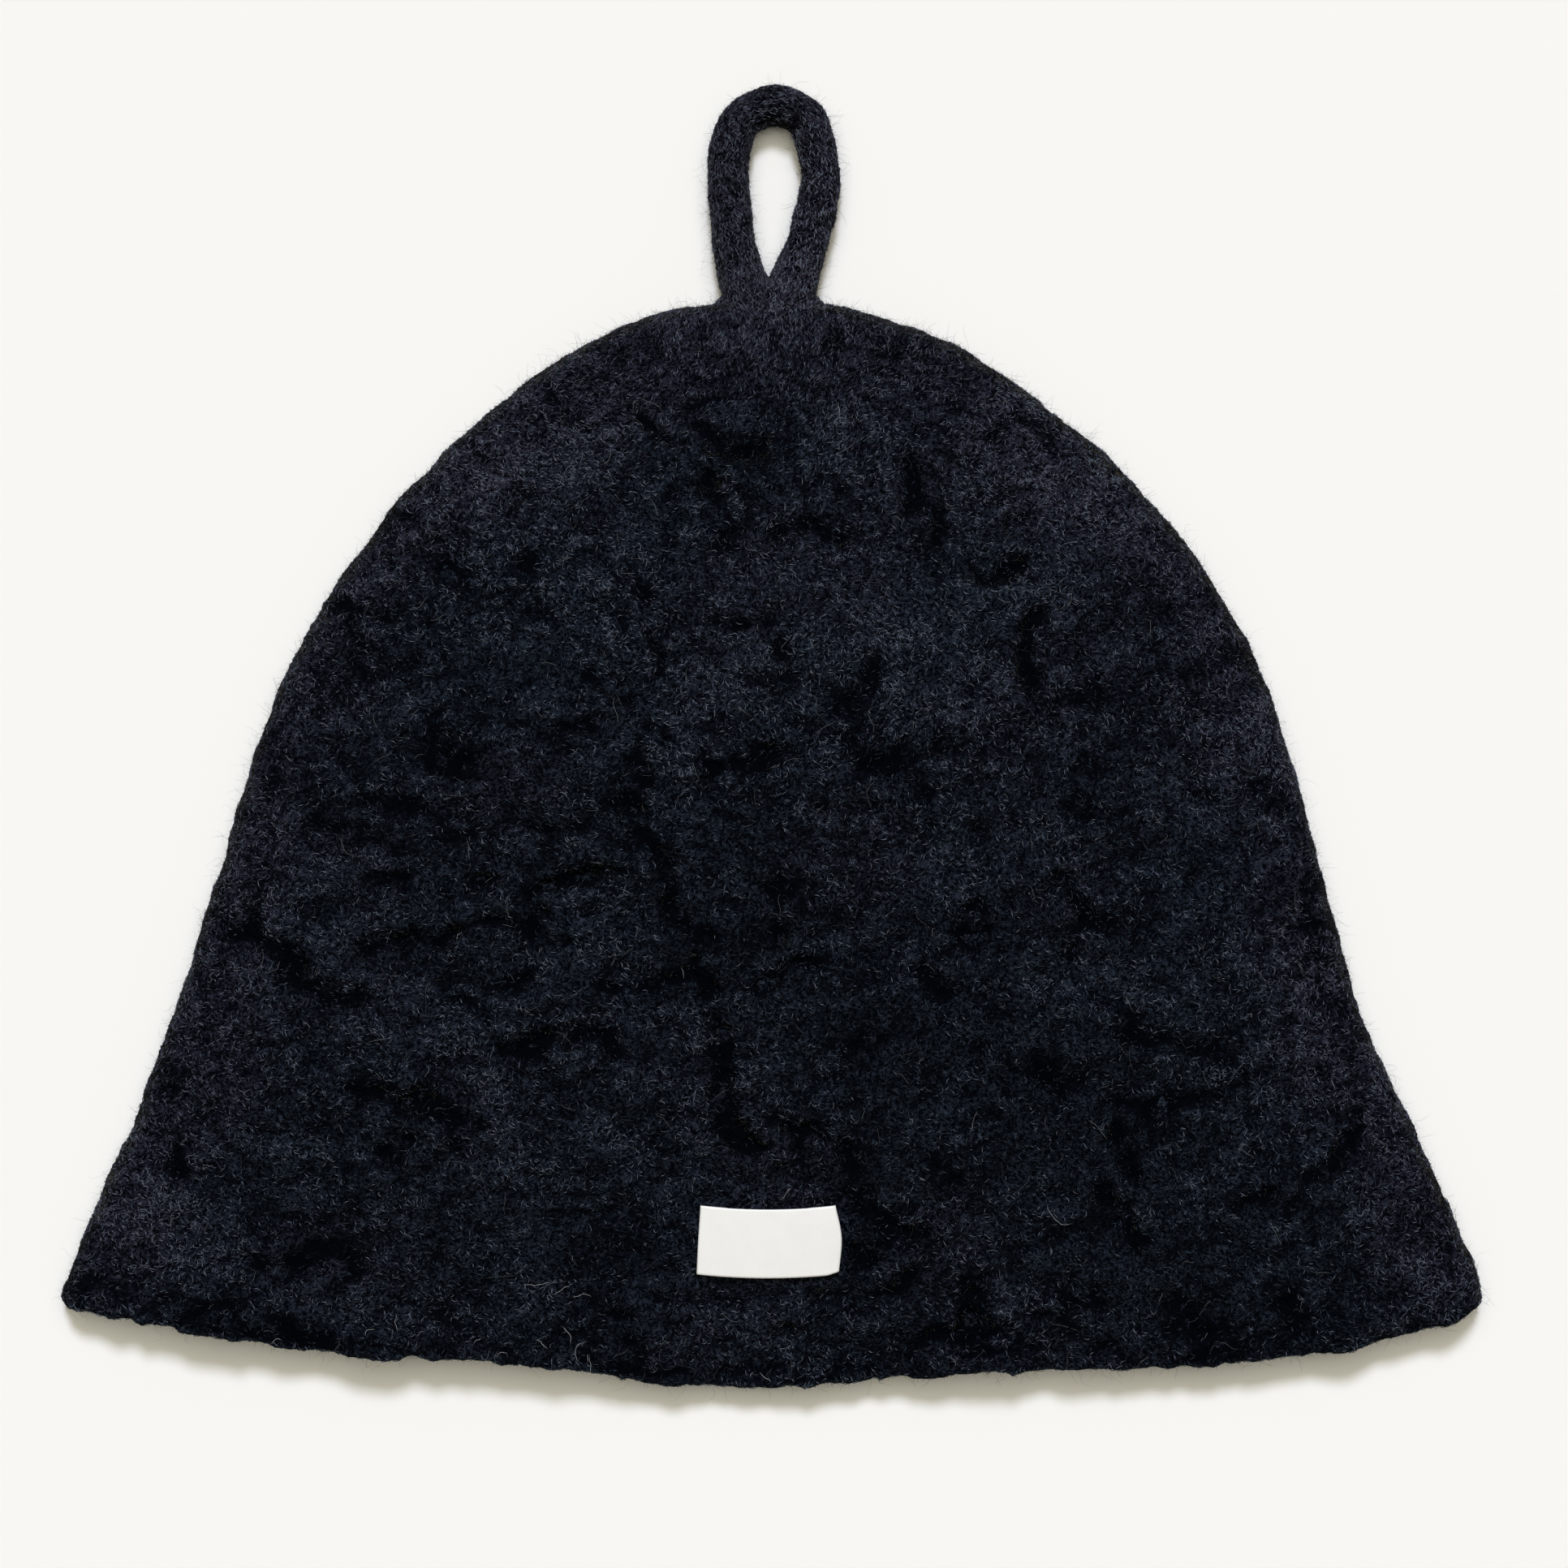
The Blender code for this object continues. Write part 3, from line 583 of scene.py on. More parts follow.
# how deep the creases are at each plan point: each falls off as a bell from its bow, between raised lips
def creaseDepth(x, y):
    depth = np.zeros(np.shape(x))
    lips = np.zeros(np.shape(x))
    t = np.linspace(0, 1, creaseLook["steps"] + 1)[:, None]
    for x0, d0, x1, d1, x2, d2, width, deep in creases:
        a, b, c = np.array([(x0, d0), (x1, d1), (x2, d2)]) * mm
        bow = (1 - t) ** 2 * a + 2 * t * (1 - t) * (2 * b - (a + c) / 2) + t**2 * c
        near = (np.abs(x - b[0]) < creaseLook["reach"]) & (np.abs(crownTop - y - b[1]) < creaseLook["reach"])
        away = lineDistance(x[near], crownTop - y[near], bow)
        depth[near] = np.maximum(depth[near], deep * mm * bell(away, width * mm))
        past = (away / (width * mm) - creaseLook["lipAway"]) ** 2
        lips[near] += creaseLook["lip"] * deep * mm * np.exp(-past * creaseLook["lipThin"])
    return depth, lips


# plan places moved about a little, so that the creases' edges are ragged
def ragged(points):
    place = seen(points).T
    for k in (0, 1):
        layers = [(share, size, seed + k) for share, size, seed in creaseLook["ragged"]]
        place[k] += mm * layered(points, 0, layers)
    return place


relief = {
    # swells, lumps, knots and grain: height, lattice size and seed
    "layers": (
        (0.8 * mm, 17 * mm, 40), (1.15 * mm, 8 * mm, 41),
        (0.80 * mm, 4.0 * mm, 42), (0.38 * mm, 2.1 * mm, 43),
    ),
    # nets of cracks: lattice size, depth, how thin they are, and the seeds of the net and of its gaps
    "cracks": ((10 * mm, 0.8 * mm, 0.12, 60, 65), (4.6 * mm, 0.45 * mm, 0.16, 61, 66)),
    "crackGaps": (0.6, 20 * mm),  # how much of a net stays, and the gaps' lattice size
    "crackShade": 0.7,
    # hollows: lattice size, depth, the noise above which the felt sinks, painted shade, seeds lying and
    # upright
    "hollows": ((9.0 * mm, 0.7 * mm, 0.25, 0.30, 70, 74), (3.4 * mm, 0.45 * mm, 0.22, 0.60, 71, 75)),
    "hollowEase": 0.3,
    "lying": (0.75, 1.25, 1.0),  # stretch of the hollows, and under the crown
    "upright": (1.7, 0.8, 1.0),
    "crownReach": 70 * mm,
    "bend": (2.2 * mm, 9 * mm, (51, 52, 53)),  # how far it all wanders, lattice size and seeds
    "stretch": (0.72, 1.0, 1.0),
}


# the felt's own relief at points in space: layers of noise, cut by nets of thin cracks and by hollows; and
# the shade painted into those cracks and hollows
def feltRelief(points):
    far, size, seeds = relief["bend"]
    bent = points + far * np.stack([noise(points, size, seed) for seed in seeds], axis=-1)
    bent = bent * np.array(relief["stretch"])
    height = layered(bent, 0, relief["layers"])
    # painted shade: how dark the cracks and hollows are painted
    gaps = 0
    kept, gapSize = relief["crackGaps"]
    for size, deep, thin, seed, gapSeed in relief["cracks"]:
        made = bell(noise(bent, size, seed), thin) * np.clip(kept + noise(points, gapSize, gapSeed), 0, 1)
        height = height - deep * made
        gaps = np.maximum(gaps, relief["crackShade"] * made)
    crownward = bell(crownTop - points[:, 1], relief["crownReach"])
    for size, deep, level, shade, lyingSeed, uprightSeed in relief["hollows"]:
        lying = noise(bent * np.array(relief["lying"]), size, lyingSeed)
        upright = noise(bent * np.array(relief["upright"]), size, uprightSeed)
        t = (lying * (1 - crownward) + upright * crownward - level) / relief["hollowEase"]
        made = smoothStep(np.clip(t, 0, 1))
        height = height - deep * made
        gaps = np.maximum(gaps, shade * made)
    return height, gaps


label = {
    # places of its ends, at shares of its breadth from the low edge to the high one
    "left": ((0.0, -18.0 * mm), (0.36, -17.7 * mm), (1.0, -17.0 * mm)),
    "right": ((0.0, 16.5 * mm), (0.55, 17.1 * mm), (1.0, 15.6 * mm)),
    "low": 239.4 * mm,  # from the crown's top, at the label's corners
    "high": 222.4 * mm,
    "bow": 0.95 * mm,
    "cornerUp": (0.6 * mm, 0.92),  # how far the right low corner turns up, and from which share on
    "sagShares": (0.12, 0.86),  # of its length, past which its ends bend down to the felt
    "sag": 0.5 * mm,
    "wave": (0.12 * mm, 11 * mm, 60),  # height, lattice size and seed of its unevenness
    "ribbon": 0.32 * mm,
    "foldRadius": 0.42 * mm,
    "flap": 6 * mm,  # the end that is folded under
    "lift": 0.35 * mm,  # from the felt to the flap's under side
    "steps": 70,
    "rows": 34,
    "flapSteps": 6,
    "foldSteps": 8,
    "press": (0.5 * mm, 3 * mm),  # the felt is flat this far short of its edges, and free this far on
    "dark": (0.880, 0.873, 0.846),
    "light": (0.955, 0.950, 0.925),
    # threads of the weave: their numbers to the metre over a full turn, in radians, and how uneven they are
    "ribs": {"Scale": 2300 / 6.283, "Distortion": 2.0, "Detail": 2.0, "Detail Scale": 2.0},
    "picks": {"Scale": 4200 / 6.283, "Distortion": 0.6},
    "cloth": 220.0,
    "shades": (0.14, 0.12, 0.8),  # of ribs, picks and cloth
    "pickHeight": 0.4,
    "bump": 0.05 * mm,
}


# how far down from the crown's top the hem lies
def hemDown(x):
    return crownLength - cap["hemDrop"] * (1 - curveHeights(np.clip(x / halfWidth, -1, 1), hemLine))


# where the label presses the felt flat: 1 under it, falling to 0 a little way past its edges
def labelPress(x, y):
    middle = (labelLow + labelHigh) / 2
    half = (labelHigh - labelLow) / 2
    out = np.maximum(np.abs(x - middle[0]) - half[0], np.abs(y - middle[1]) - half[1])
    short, ease = label["press"]
    return 1 - np.clip((out + short) / ease, 0, 1)


# broad tones and small tufts of the felt, and painted shade on the loop: across, down, reach in mm, and how
# much lighter
tonesAndLoopShade = [
    # the rows at negative down lie on the loop: painted shade under its arch and in its grooves
    (1, -44, 4, -0.7), (6, -43, 4, -0.5), (12, -24, 5, -0.45), (-12, -33, 5, -0.25), (-9, -14, 5, -0.2),
    (-68, 46, 26, 0.5), (16, 18, 22, 0.4), (72, 46, 26, 0.35), (-96, 135, 35, -0.35), (-55, 125, 25, -0.2),
    (-12, 150, 22, -0.3), (16, 205, 30, -0.3), (78, 205, 38, -0.35), (-124, 176, 25, 0.25),
    (-150, 228, 25, 0.15), (-4, 46, 16, -0.35), (110, 245, 40, -0.2), (0, 262, 60, -0.2), (-70, 45, 3, 1.0),
    (-65, 42, 3, 0.8), (-50, 43, 3, 0.8), (-46, 32, 3, 0.8), (17, 26, 2, 1.2), (17, 30, 2, 1.2),
    (13, 13, 3, 0.8), (34, 83, 4, 1.0), (30, 95, 4, 0.9), (98, 73, 4, 0.8), (-69, 193, 4, 0.8),
    (-120, 152, 5, 0.7), (0, 1, 14, 0.6),
]


# how much lighter the felt is by the table above: its tones, and the painted shade on the loop
def toneAndLoopShade(points):
    place = seen(points)
    total = 0
    for across, down, reach, lighter in tonesAndLoopShade:
        away = ((place[:, 0] / mm - across) ** 2 + ((crownTop - place[:, 1]) / mm - down) ** 2) / reach**2
        total = total + lighter * np.exp(-away)
    return total


# painted shade in the creases, partly their matted darkness, and along the hem; and where the felt nears the
# rim's colour
shading = {
    "darkest": 0.95,
    # the band along the hem is painted darker, as shade, where the wall slopes away from the light
    "hemReach": 13 * mm,
    "hemShade": 0.3,
    "toneLight": 0.25,
    "crownReach": 45 * mm,
    "crownShare": 0.6,
    "rimReach": 20 * mm,
    "rimPatches": ((0.6, 24 * mm, 59),),
    "hemLoss": 0.6,
    # the rim mark's share along the fold, which paints the floor's reflected light onto it
    "edgeShare": 2,  # 1 to 2 is the edge's colour in the felt material
    "edgeHeight": 0.4,  # of the fold's radius, above which the edge has its own colour
}


# points of the cap with the hem's corners rounded off a little
def cutCorners(points):
    cut = points.copy()
    for tip, most in zip(foldLine(cap["outerRows"])[[0, -1]], cap["cornerCut"]):
        pull = most * bell(np.hypot(*(points[:, :2] - tip).T), cap["cornerReach"])
        cut[:, 0] -= np.sign(tip[0]) * cap["cornerAside"] * pull
        cut[:, 1] += pull
    return cut


# the outer sheet: how far each point moves out along its normal, and its two marks for the material
def outerFelt(points):
    x, y, z = points.T
    distance = foldDistance(x, y)
    front = np.clip((z / cap["foldRadius"] - 1), 0, 1)
    edge = np.clip(distance / cap["calmReach"], 0, 1)
    press = labelPress(x, y) * front
    # cracks: the shade painted into the relief's cracks and hollows
    height, cracks = feltRelief(points)
    deep, lips = creaseDepth(*ragged(points))
    broken = layered(points, creaseLook["brokenStart"], creaseLook["broken"])
    deep = deep * np.clip(broken, *creaseLook["brokenRange"])
    atFold, inwards = cap["calm"]
    under, share = cap["underCalm"]
    height = height * (atFold + inwards * edge) * np.where(z > under, 1, share)
    moved = (height + (lips - deep) * front * edge) * (1 - press) - cap["labelDent"] * press
    # painted shade: the band along the hem, which slopes away from the light
    hemShadeBand = bell(crownTop - y - hemDown(x), shading["hemReach"])
    # painted shade in the creases, partly their matted darkness, and in the cracks, hollows and hem band
    shadeAndTone = deep * front / creaseLook["dark"] + cracks + shading["hemShade"] * hemShadeBand
    return moved, distance, press, hemShadeBand, shadeAndTone


# the cap: the displaced sheet, a round rim along its hem and the plain inner wall, stitched to one solid;
# what the coats of fibres need of its outside comes back too
def makeCap():
    points, faces, hem = capSheet(cap["outerRows"], cap["frontSteps"], cap["backSteps"])
    x, y, z = points.T
    moved, distance, press, hemShadeBand, shadeAndTone = outerFelt(points)
    points = points + pointNormals(points, faces) * moved[:, None]
    points[:, 2] = np.maximum(points[:, 2], 0)
    shadeAndTone = np.clip(shadeAndTone - shading["toneLight"] * toneAndLoopShade(points), 0, shading["darkest"]) * (1 - press)
    crownward = shading["crownShare"] * bell(crownTop - y, shading["crownReach"])
    outer = layered(points, bell(distance, shading["rimReach"]) + crownward, shading["rimPatches"])
    # the rim's colour fades in the hem's band, part of its painted shade
    outer = np.clip(outer, 0, 1) * (1 - shading["hemLoss"] * hemShadeBand)
    # painted reflection: the mark rises past 1 along the fold's upper side, towards the warm edge colour
    atEdge = z > shading["edgeHeight"] * cap["foldRadius"]
    outer = outer + shading["edgeShare"] * bell(distance, feltLook["edgeReach"]) * atEdge

    loop = points[hem]
    normal = pointNormals(points, faces)[hem]
    out = wayOut(loop, normal)
    angles = np.linspace(0, math.pi, cap["rimSteps"] + 1)[1:, None, None]
    uneven = np.clip(layered(loop, 1, cap["rimUneven"]), *cap["rimRange"])
    rings = loop + cap["wall"] / 2 * (normal * (np.cos(angles) - 1) + out * np.sin(angles) * uneven[:, None])
    rings[..., 2] = np.maximum(rings[..., 2], 0)
    ringIds = np.vstack([hem, len(points) + np.arange(rings[..., 0].size).reshape(-1, len(hem))])
    rim = ringQuads(ringIds)[:, ::-1]

    inner, innerFaces, innerHem = capSheet(cap["innerRows"], cap["innerSteps"], cap["innerSteps"])
    innerNormals = pointNormals(inner, innerFaces)
    innerOut = wayOut(inner[innerHem], innerNormals[innerHem])
    inner = inner - innerNormals * cap["wall"]
    inner[innerHem] -= innerOut * cap["innerStart"]
    shift = len(points) + rings[..., 0].size
    seam = stitch(ringIds[-1], innerHem + shift, rings[-1], inner[innerHem])
    allPoints = cutCorners(np.concatenate([points, rings.reshape(-1, 3), inner]))
    allFaces = [faces, rim, innerFaces[:, ::-1] + shift, seam[:, ::-1]]
    ringRest, innerRest = np.zeros(shift - len(points)), np.zeros(len(inner))
    marks = {
        "shadeAndTone": np.concatenate([shadeAndTone, ringRest + cap["rimShade"], innerRest]),
        "rim": np.concatenate([outer, ringRest, innerRest]),
    }
    finish = feltMaterial("black felt", feltLook["light"], feltLook["rimLight"])
    piece = newPiece("capBody", allPoints, allFaces, finish, marks)
    shell = np.concatenate([faces, rim[:, [0, 1, 2]], rim[:, [0, 2, 3]]])
    normals = pointNormals(allPoints[:shift], shell)
    return piece, allPoints[:shift], shell, normals, marks["shadeAndTone"][:shift], marks["rim"][:shift]


# random places on triangles, by area and weight: the places, their normals and the triangles' numbers
def scatter(points, triangles, normals, weights, count):
    a, b, c = (points[triangles[:, k]] for k in range(3))
    area = np.linalg.norm(np.cross(b - a, c - a), axis=1) * weights
    chosen = np.searchsorted(np.cumsum(area), rng.random(count) * area.sum())
    u, v = rng.random((2, count, 1))
    flip = (u + v) > 1
    u, v = np.where(flip, 1 - u, u), np.where(flip, 1 - v, v)
    places = a[chosen] * (1 - u - v) + b[chosen] * u + c[chosen] * v
    na, nb, nc = (normals[triangles[chosen, k]] for k in range(3))
    return places, unit(na * (1 - u - v) + nb * u + nc * v), chosen


fibreLook = {
    "cool": (0.0170, 0.0250, 0.0390),
    "mid": (0.0385, 0.0515, 0.0730),
    "plum": (0.0480, 0.0465, 0.0730),
    "lit": (0.1260, 0.1440, 0.1850),
    "pale": (0.17, 0.178, 0.18),
    "stray": (0.47, 0.48, 0.50),
    "counts": {"cool": 22000, "mid": 29000, "plum": 17000, "lit": 21000},
    "length": (1.3 * mm, 3.0 * mm),
    "width": (0.15 * mm, 0.27 * mm),
    "bow": 0.13,  # how far fibres bow and wave, as shares of their length
    "wave": 0.07,
    "rise": 0.40 * mm,  # the most that a fibre's middle rises, and how deep its ends are
    "rooted": 0.10 * mm,
    "clear": 0.05 * mm,  # the least that its line is above the floor
    "patches": ((0.5, 6 * mm, 70), (0.6, 2.4 * mm, 71), (0.4, 20 * mm, 72)),
    "patchRange": (0.05, 2.4),
    "patchStretch": (0.7, 1.0, 1.0),
    "rimMore": 0.35,  # how much thicker the coats are near the rim
    "frontLow": 8 * mm,  # the front wall is higher than this
    "bareLow": 0.8 * mm,  # and no fibre grows lower than this
    "underLabel": 0.96,  # the share of fibre that the label hides
    "comb": ((1.0, 0.15, 0), (0, 1.0, 0)),  # ways that the fibres lie: over the cap, and at its crown
    "combReach": (50 * mm, 45 * mm),  # of the crown's way, across and down
    "combTurn": (0.5, 12 * mm, 75, (0.3, 1.0, 0)),  # share, lattice size, seed and way of its wandering
    "spread": (1.45, 0.75),  # radians to each side, and how much less at the crown
    "strayCount": 900,
    "strayWidth": (0.03 * mm, 0.09 * mm),
    "strayLength": (2 * mm, 7 * mm),  # the shortest, and what a few of them have more
    "strayLow": 5 * mm,  # the least height of scattered strays, and of placed ones
    "placedLow": 7 * mm,
}
aslant = np.array([0.31, 0.17, 0.93])  # a way that fibres seldom follow


# fibres as closed three-sided spindles along lines of a few points each: pointed ends, and a ring at each
# point between whose radius swells to half the fibre's width
def fibrePiece(name, lines, widths, material):
    lines = lines.copy()
    lines[..., 2] = np.maximum(lines[..., 2], fibreLook["clear"])
    count, steps = lines.shape[:2]
    rings = steps - 2
    tangents = unit(np.gradient(lines, axis=1))[:, 1:-1]
    side = unit(np.cross(tangents, aslant))
    other = np.cross(tangents, side)
    swell = np.sqrt(np.sin(math.pi * np.arange(1, rings + 1) / (rings + 1)))
    radius = (widths[:, None] / 2 * swell)[..., None, None]
    angle = np.array([0, 2, 4]) * math.pi / 3
    ring = np.cos(angle)[:, None] * side[:, :, None] + np.sin(angle)[:, None] * other[:, :, None]
    body = (lines[:, 1:-1, None] + radius * ring).reshape(count, -1, 3)
    points = np.concatenate([lines[:, :1], body, lines[:, -1:]], axis=1)
    points[..., 2] = np.maximum(points[..., 2], 0.4 * fibreLook["clear"])
    last = 3 * rings + 1
    one = []
    for k in range(3):
        after = (k + 1) % 3
        one.append((0, 1 + after, 1 + k))
        one.append((last, last - 3 + k, last - 3 + after))
        for r in range(rings - 1):
            low = 1 + 3 * r
            one.append((low + k, low + after, low + 3 + after))
            one.append((low + k, low + 3 + after, low + 3 + k))
    faces = np.array(one)[None] + (np.arange(count) * (last + 1))[:, None, None]
    return newPiece(name, points.reshape(-1, 3), [faces.reshape(-1, 3)], material, smooth=False)


# lying fibres: each a bow about its place, along the grain turned aside by a random angle
def lyingFibres(places, normals, grain, spread, lengths, rings):
    count = len(places)
    along = unit(grain - normals * np.sum(grain * normals, axis=1, keepdims=True))
    beside = np.cross(normals, along)
    turn = ((rng.random(count) - 0.5) * 2 * spread)[:, None]
    way = np.cos(turn) * along + np.sin(turn) * beside
    side = np.cross(normals, way)
    s = np.linspace(-0.5, 0.5, rings + 2)[None, :, None]
    bow = (1 - 4 * s**2) * (lengths * rng.normal(0, fibreLook["bow"], count))[:, None, None]
    wave = np.sin(2 * math.pi * s) * (lengths * rng.normal(0, fibreLook["wave"], count))[:, None, None]
    rise = (rng.random(count) * fibreLook["rise"])[:, None, None]
    lift = (1 - 4 * s**2) * rise - fibreLook["rooted"]
    return (
        places[:, None]
        + way[:, None] * s * lengths[:, None, None]
        + side[:, None] * (bow + wave)
        + normals[:, None] * lift
    )


fuzzLook = {
    "colour": (0.056, 0.052, 0.046),
    "short": (0.5 * mm, 1.5 * mm),
    "long": (1.5 * mm, 5.5 * mm),
    "width": {"short": (0.045 * mm, 0.085 * mm), "long": (0.028 * mm, 0.050 * mm)},
    "lean": 1.1,
    "bend": 0.35,  # how far fibres bend, curl and drift, as shares of their length
    "curl": 0.2,
    "drift": 0.25,
    "rooted": 0.2 * mm,
    "low": 1.5 * mm,  # the height above which it grows, and the steepest faces that it leaves bare
    "steep": 0.75,
    "crown": (50 * mm, 1.2),  # reach of the thicker fuzz near the crown, and how much more there is
}


# standing fibres: they leave the surface and curl away, with a few bends
def standingFibres(places, normals, lengths, rings):
    count = len(places)
    aside = rng.normal(0, 1, (count, 3))
    way = unit(normals + fuzzLook["lean"] * unit(aside))
    side = unit(np.cross(way, aside + up))
    other = np.cross(way, side)
    s = np.linspace(0, 1, rings + 2)[None, :, None]
    bend = s**2 * rng.normal(0, fuzzLook["bend"], (count, 1, 1))
    curl = np.sin(s * (3 + 5 * rng.random((count, 1, 1)))) * rng.normal(0, fuzzLook["curl"], (count, 1, 1))
    drift = s**2 * rng.normal(0, fuzzLook["drift"], (count, 1, 1))
    size = lengths[:, None, None]
    return places[:, None] - normals[:, None] * fuzzLook["rooted"] + size * (
        way[:, None] * s + side[:, None] * (bend + curl) + other[:, None] * drift
    )


def between(limits, count):
    return limits[0] + (limits[1] - limits[0]) * rng.random(count)


# how thick each coat is: thin under painted shade and dark tone, as in the creases, thick on the lumps, more
# plum near the rim
def coatWeights(shadeAndToneHere, near, patch):
    thick = (1 - 0.94 * shadeAndToneHere) * (0.35 + 0.65 * patch)
    return {
        "cool": (1 - 0.85 * shadeAndToneHere) * (1 - 0.7 * near),
        "mid": thick * (1 - 0.5 * near),
        "plum": thick * (0.1 + near),
        "lit": np.clip(1 - 1.2 * shadeAndToneHere, 0.01, 1) * patch**1.5,
    }


# the coats of short fibres on the cap, combed across it but down it at the crown
def makeCoats(points, faces, normals, shadeAndTone, rim):
    middle = points[faces].mean(axis=1)
    press = labelPress(middle[:, 0], middle[:, 1]) * (middle[:, 2] > fibreLook["frontLow"])
    shown = (middle[:, 2] > fibreLook["bareLow"]) * (1 - fibreLook["underLabel"] * press)
    near = np.minimum(rim[faces].mean(axis=1), 1)
    patch = layered(middle * np.array(fibreLook["patchStretch"]), 0.75, fibreLook["patches"])
    patch = np.clip(patch + fibreLook["rimMore"] * near + toneAndLoopShade(middle), *fibreLook["patchRange"])
    (across, down), (widest, less) = fibreLook["combReach"], fibreLook["spread"]
    overCap, atCrown = (np.array(way) for way in fibreLook["comb"])
    share, size, seed, aside = fibreLook["combTurn"]
    pieces = []
    for shade, weight in coatWeights(shadeAndTone[faces].mean(axis=1), near, patch).items():
        count = fibreLook["counts"][shade]
        places, normal, _ = scatter(points, faces, normals, shown * weight, count)
        top = np.exp(-(((crownTop - places[:, 1]) / down) ** 2) - (places[:, 0] / across) ** 2)[:, None]
        grain = overCap * (1 - top) + atCrown * top
        grain = grain + share * noise(places, size, seed)[:, None] * np.array(aside)
        spread = widest - less * top[:, 0]
        lines = lyingFibres(places, normal, grain, spread, between(fibreLook["length"], count), 1)
        finish, _ = newMaterial(f"{shade} fibre", fibreLook[shade], 0.9, 0.04)
        name = f"cap{shade.capitalize()}Fibres"
        pieces.append(fibrePiece(name, lines, between(fibreLook["width"], count), finish))
    return pieces


# single strays that catch the eye: across, down, length in mm, turn in degrees and how much they bend
strays = [
    (4, 221, 4.5, 45, 0.05), (-77, 158, 3, 60, 0.1), (-21, 165, 6, 88, 0.1), (-5, 265, 1.6, 60, 0.1),
    (-1, 266, 4, -40, 0.1), (-46, 260, 6, 70, 0.5), (-47, 262, 5, -30, 0.6), (-44, 263, 5, 95, 0.1),
    (-52, 255, 8, -65, 0.15), (-47, 246, 6, 0, 0.1), (-58, 244, 8, 5, 0.12), (-52, 245, 5, 25, 0.15),
    (-56, 258, 4, -35, 0.1), (-92, 253, 4, 88, 0.15), (-99, 255, 3, 35, 0.25), (-73, 257, 2.5, 35, 0.1),
    (-67, 260, 3, 15, 0.1), (-122, 257, 3, 20, 0.2), (71, 225, 8, 140, 0.35), (17, 28, 5, 95, 0.1),
]


# long pale strays over the front, each with several bends
def makeStrays(points, faces, normals):
    middle = points[faces].mean(axis=1)
    weight = (middle[:, 2] > fibreLook["strayLow"]) * (1 - labelPress(middle[:, 0], middle[:, 1]))
    count = fibreLook["strayCount"]
    places, normal, _ = scatter(points, faces, normals, weight, count)
    shortest, more = fibreLook["strayLength"]
    lengths = shortest + more * rng.random(count) ** 3
    lines = lyingFibres(places, normal, rng.normal(0, 1, (count, 3)), math.pi, lengths, 5)
    widths = between(fibreLook["strayWidth"], count)

    across, down, length, turn, bend = np.array(strays).T
    spots = np.column_stack([across * mm, crownTop - down * mm])
    top = np.flatnonzero(points[:, 2] > fibreLook["placedLow"])
    pictured = seen(points[top])
    nearest = np.array([top[np.argmin(np.hypot(*(pictured - spot).T))] for spot in spots])
    s = np.linspace(-0.5, 0.5, 9)[None, :, None]
    way = np.column_stack([np.cos(np.radians(turn)), np.sin(np.radians(turn)), 0 * turn])[:, None]
    side = np.cross(up, way)
    size = (length * mm)[:, None, None]
    angle = turn[:, None, None]
    waves = 0.06 * np.sin(7 * s + 6 * angle) + 0.012 * np.sin(19 * s + 4 * angle)
    curved = (1 - 4 * s**2) * bend[:, None, None] + waves
    placed = (points[nearest] + 0.5 * mm * up)[:, None] + size * (way * s + side * curved)
    pale, _ = newMaterial("pale fibre", fibreLook["pale"], 0.8, 0.15)
    bright, _ = newMaterial("stray fibre", fibreLook["stray"], 0.8, 0.15)
    return [
        fibrePiece("capPaleFibres", lines, widths, pale),
        fibrePiece("capStrays", placed, np.full(len(strays), 0.10 * mm), bright),
    ]


# fuzz that stands out from a surface's sides: many short fibres and some long, curling ones
def makeFuzz(name, points, faces, normals, counts):
    middle = points[faces].mean(axis=1)
    outward = normals[faces].mean(axis=1)
    reach, more = fuzzLook["crown"]
    sides = (middle[:, 2] > fuzzLook["low"]) * (np.abs(outward[:, 2]) < fuzzLook["steep"])
    weight = sides * (1 + more * bell(crownTop - middle[:, 1], reach))
    finish, _ = newMaterial(f"{name} fuzz", fuzzLook["colour"], 0.85, 0.10)
    pieces = []
    for kind, count, rings in (("short", counts[0], 1), ("long", counts[1], 3)):
        places, normal, _ = scatter(points, faces, normals, weight, count)
        lines = standingFibres(places, normal, between(fuzzLook[kind], count), rings)
        widths = between(fuzzLook["width"][kind], count)
        pieces.append(fibrePiece(f"{name}{kind.capitalize()}Fuzz", lines, widths, finish))
    return pieces


# points and triangles of an object as its modifiers leave it
def evaluated(piece):
    mesh = bpy.data.meshes.new_from_object(piece.evaluated_get(bpy.context.evaluated_depsgraph_get()))
    mesh.calc_loop_triangles()
    points = np.empty(len(mesh.vertices) * 3, np.float32)
    mesh.vertices.foreach_get("co", points)
    triangles = np.empty(len(mesh.loop_triangles) * 3, np.int32)
    mesh.loop_triangles.foreach_get("vertices", triangles)
    bpy.data.meshes.remove(mesh)
    return points.reshape(-1, 3).astype(float), triangles.reshape(-1, 3)


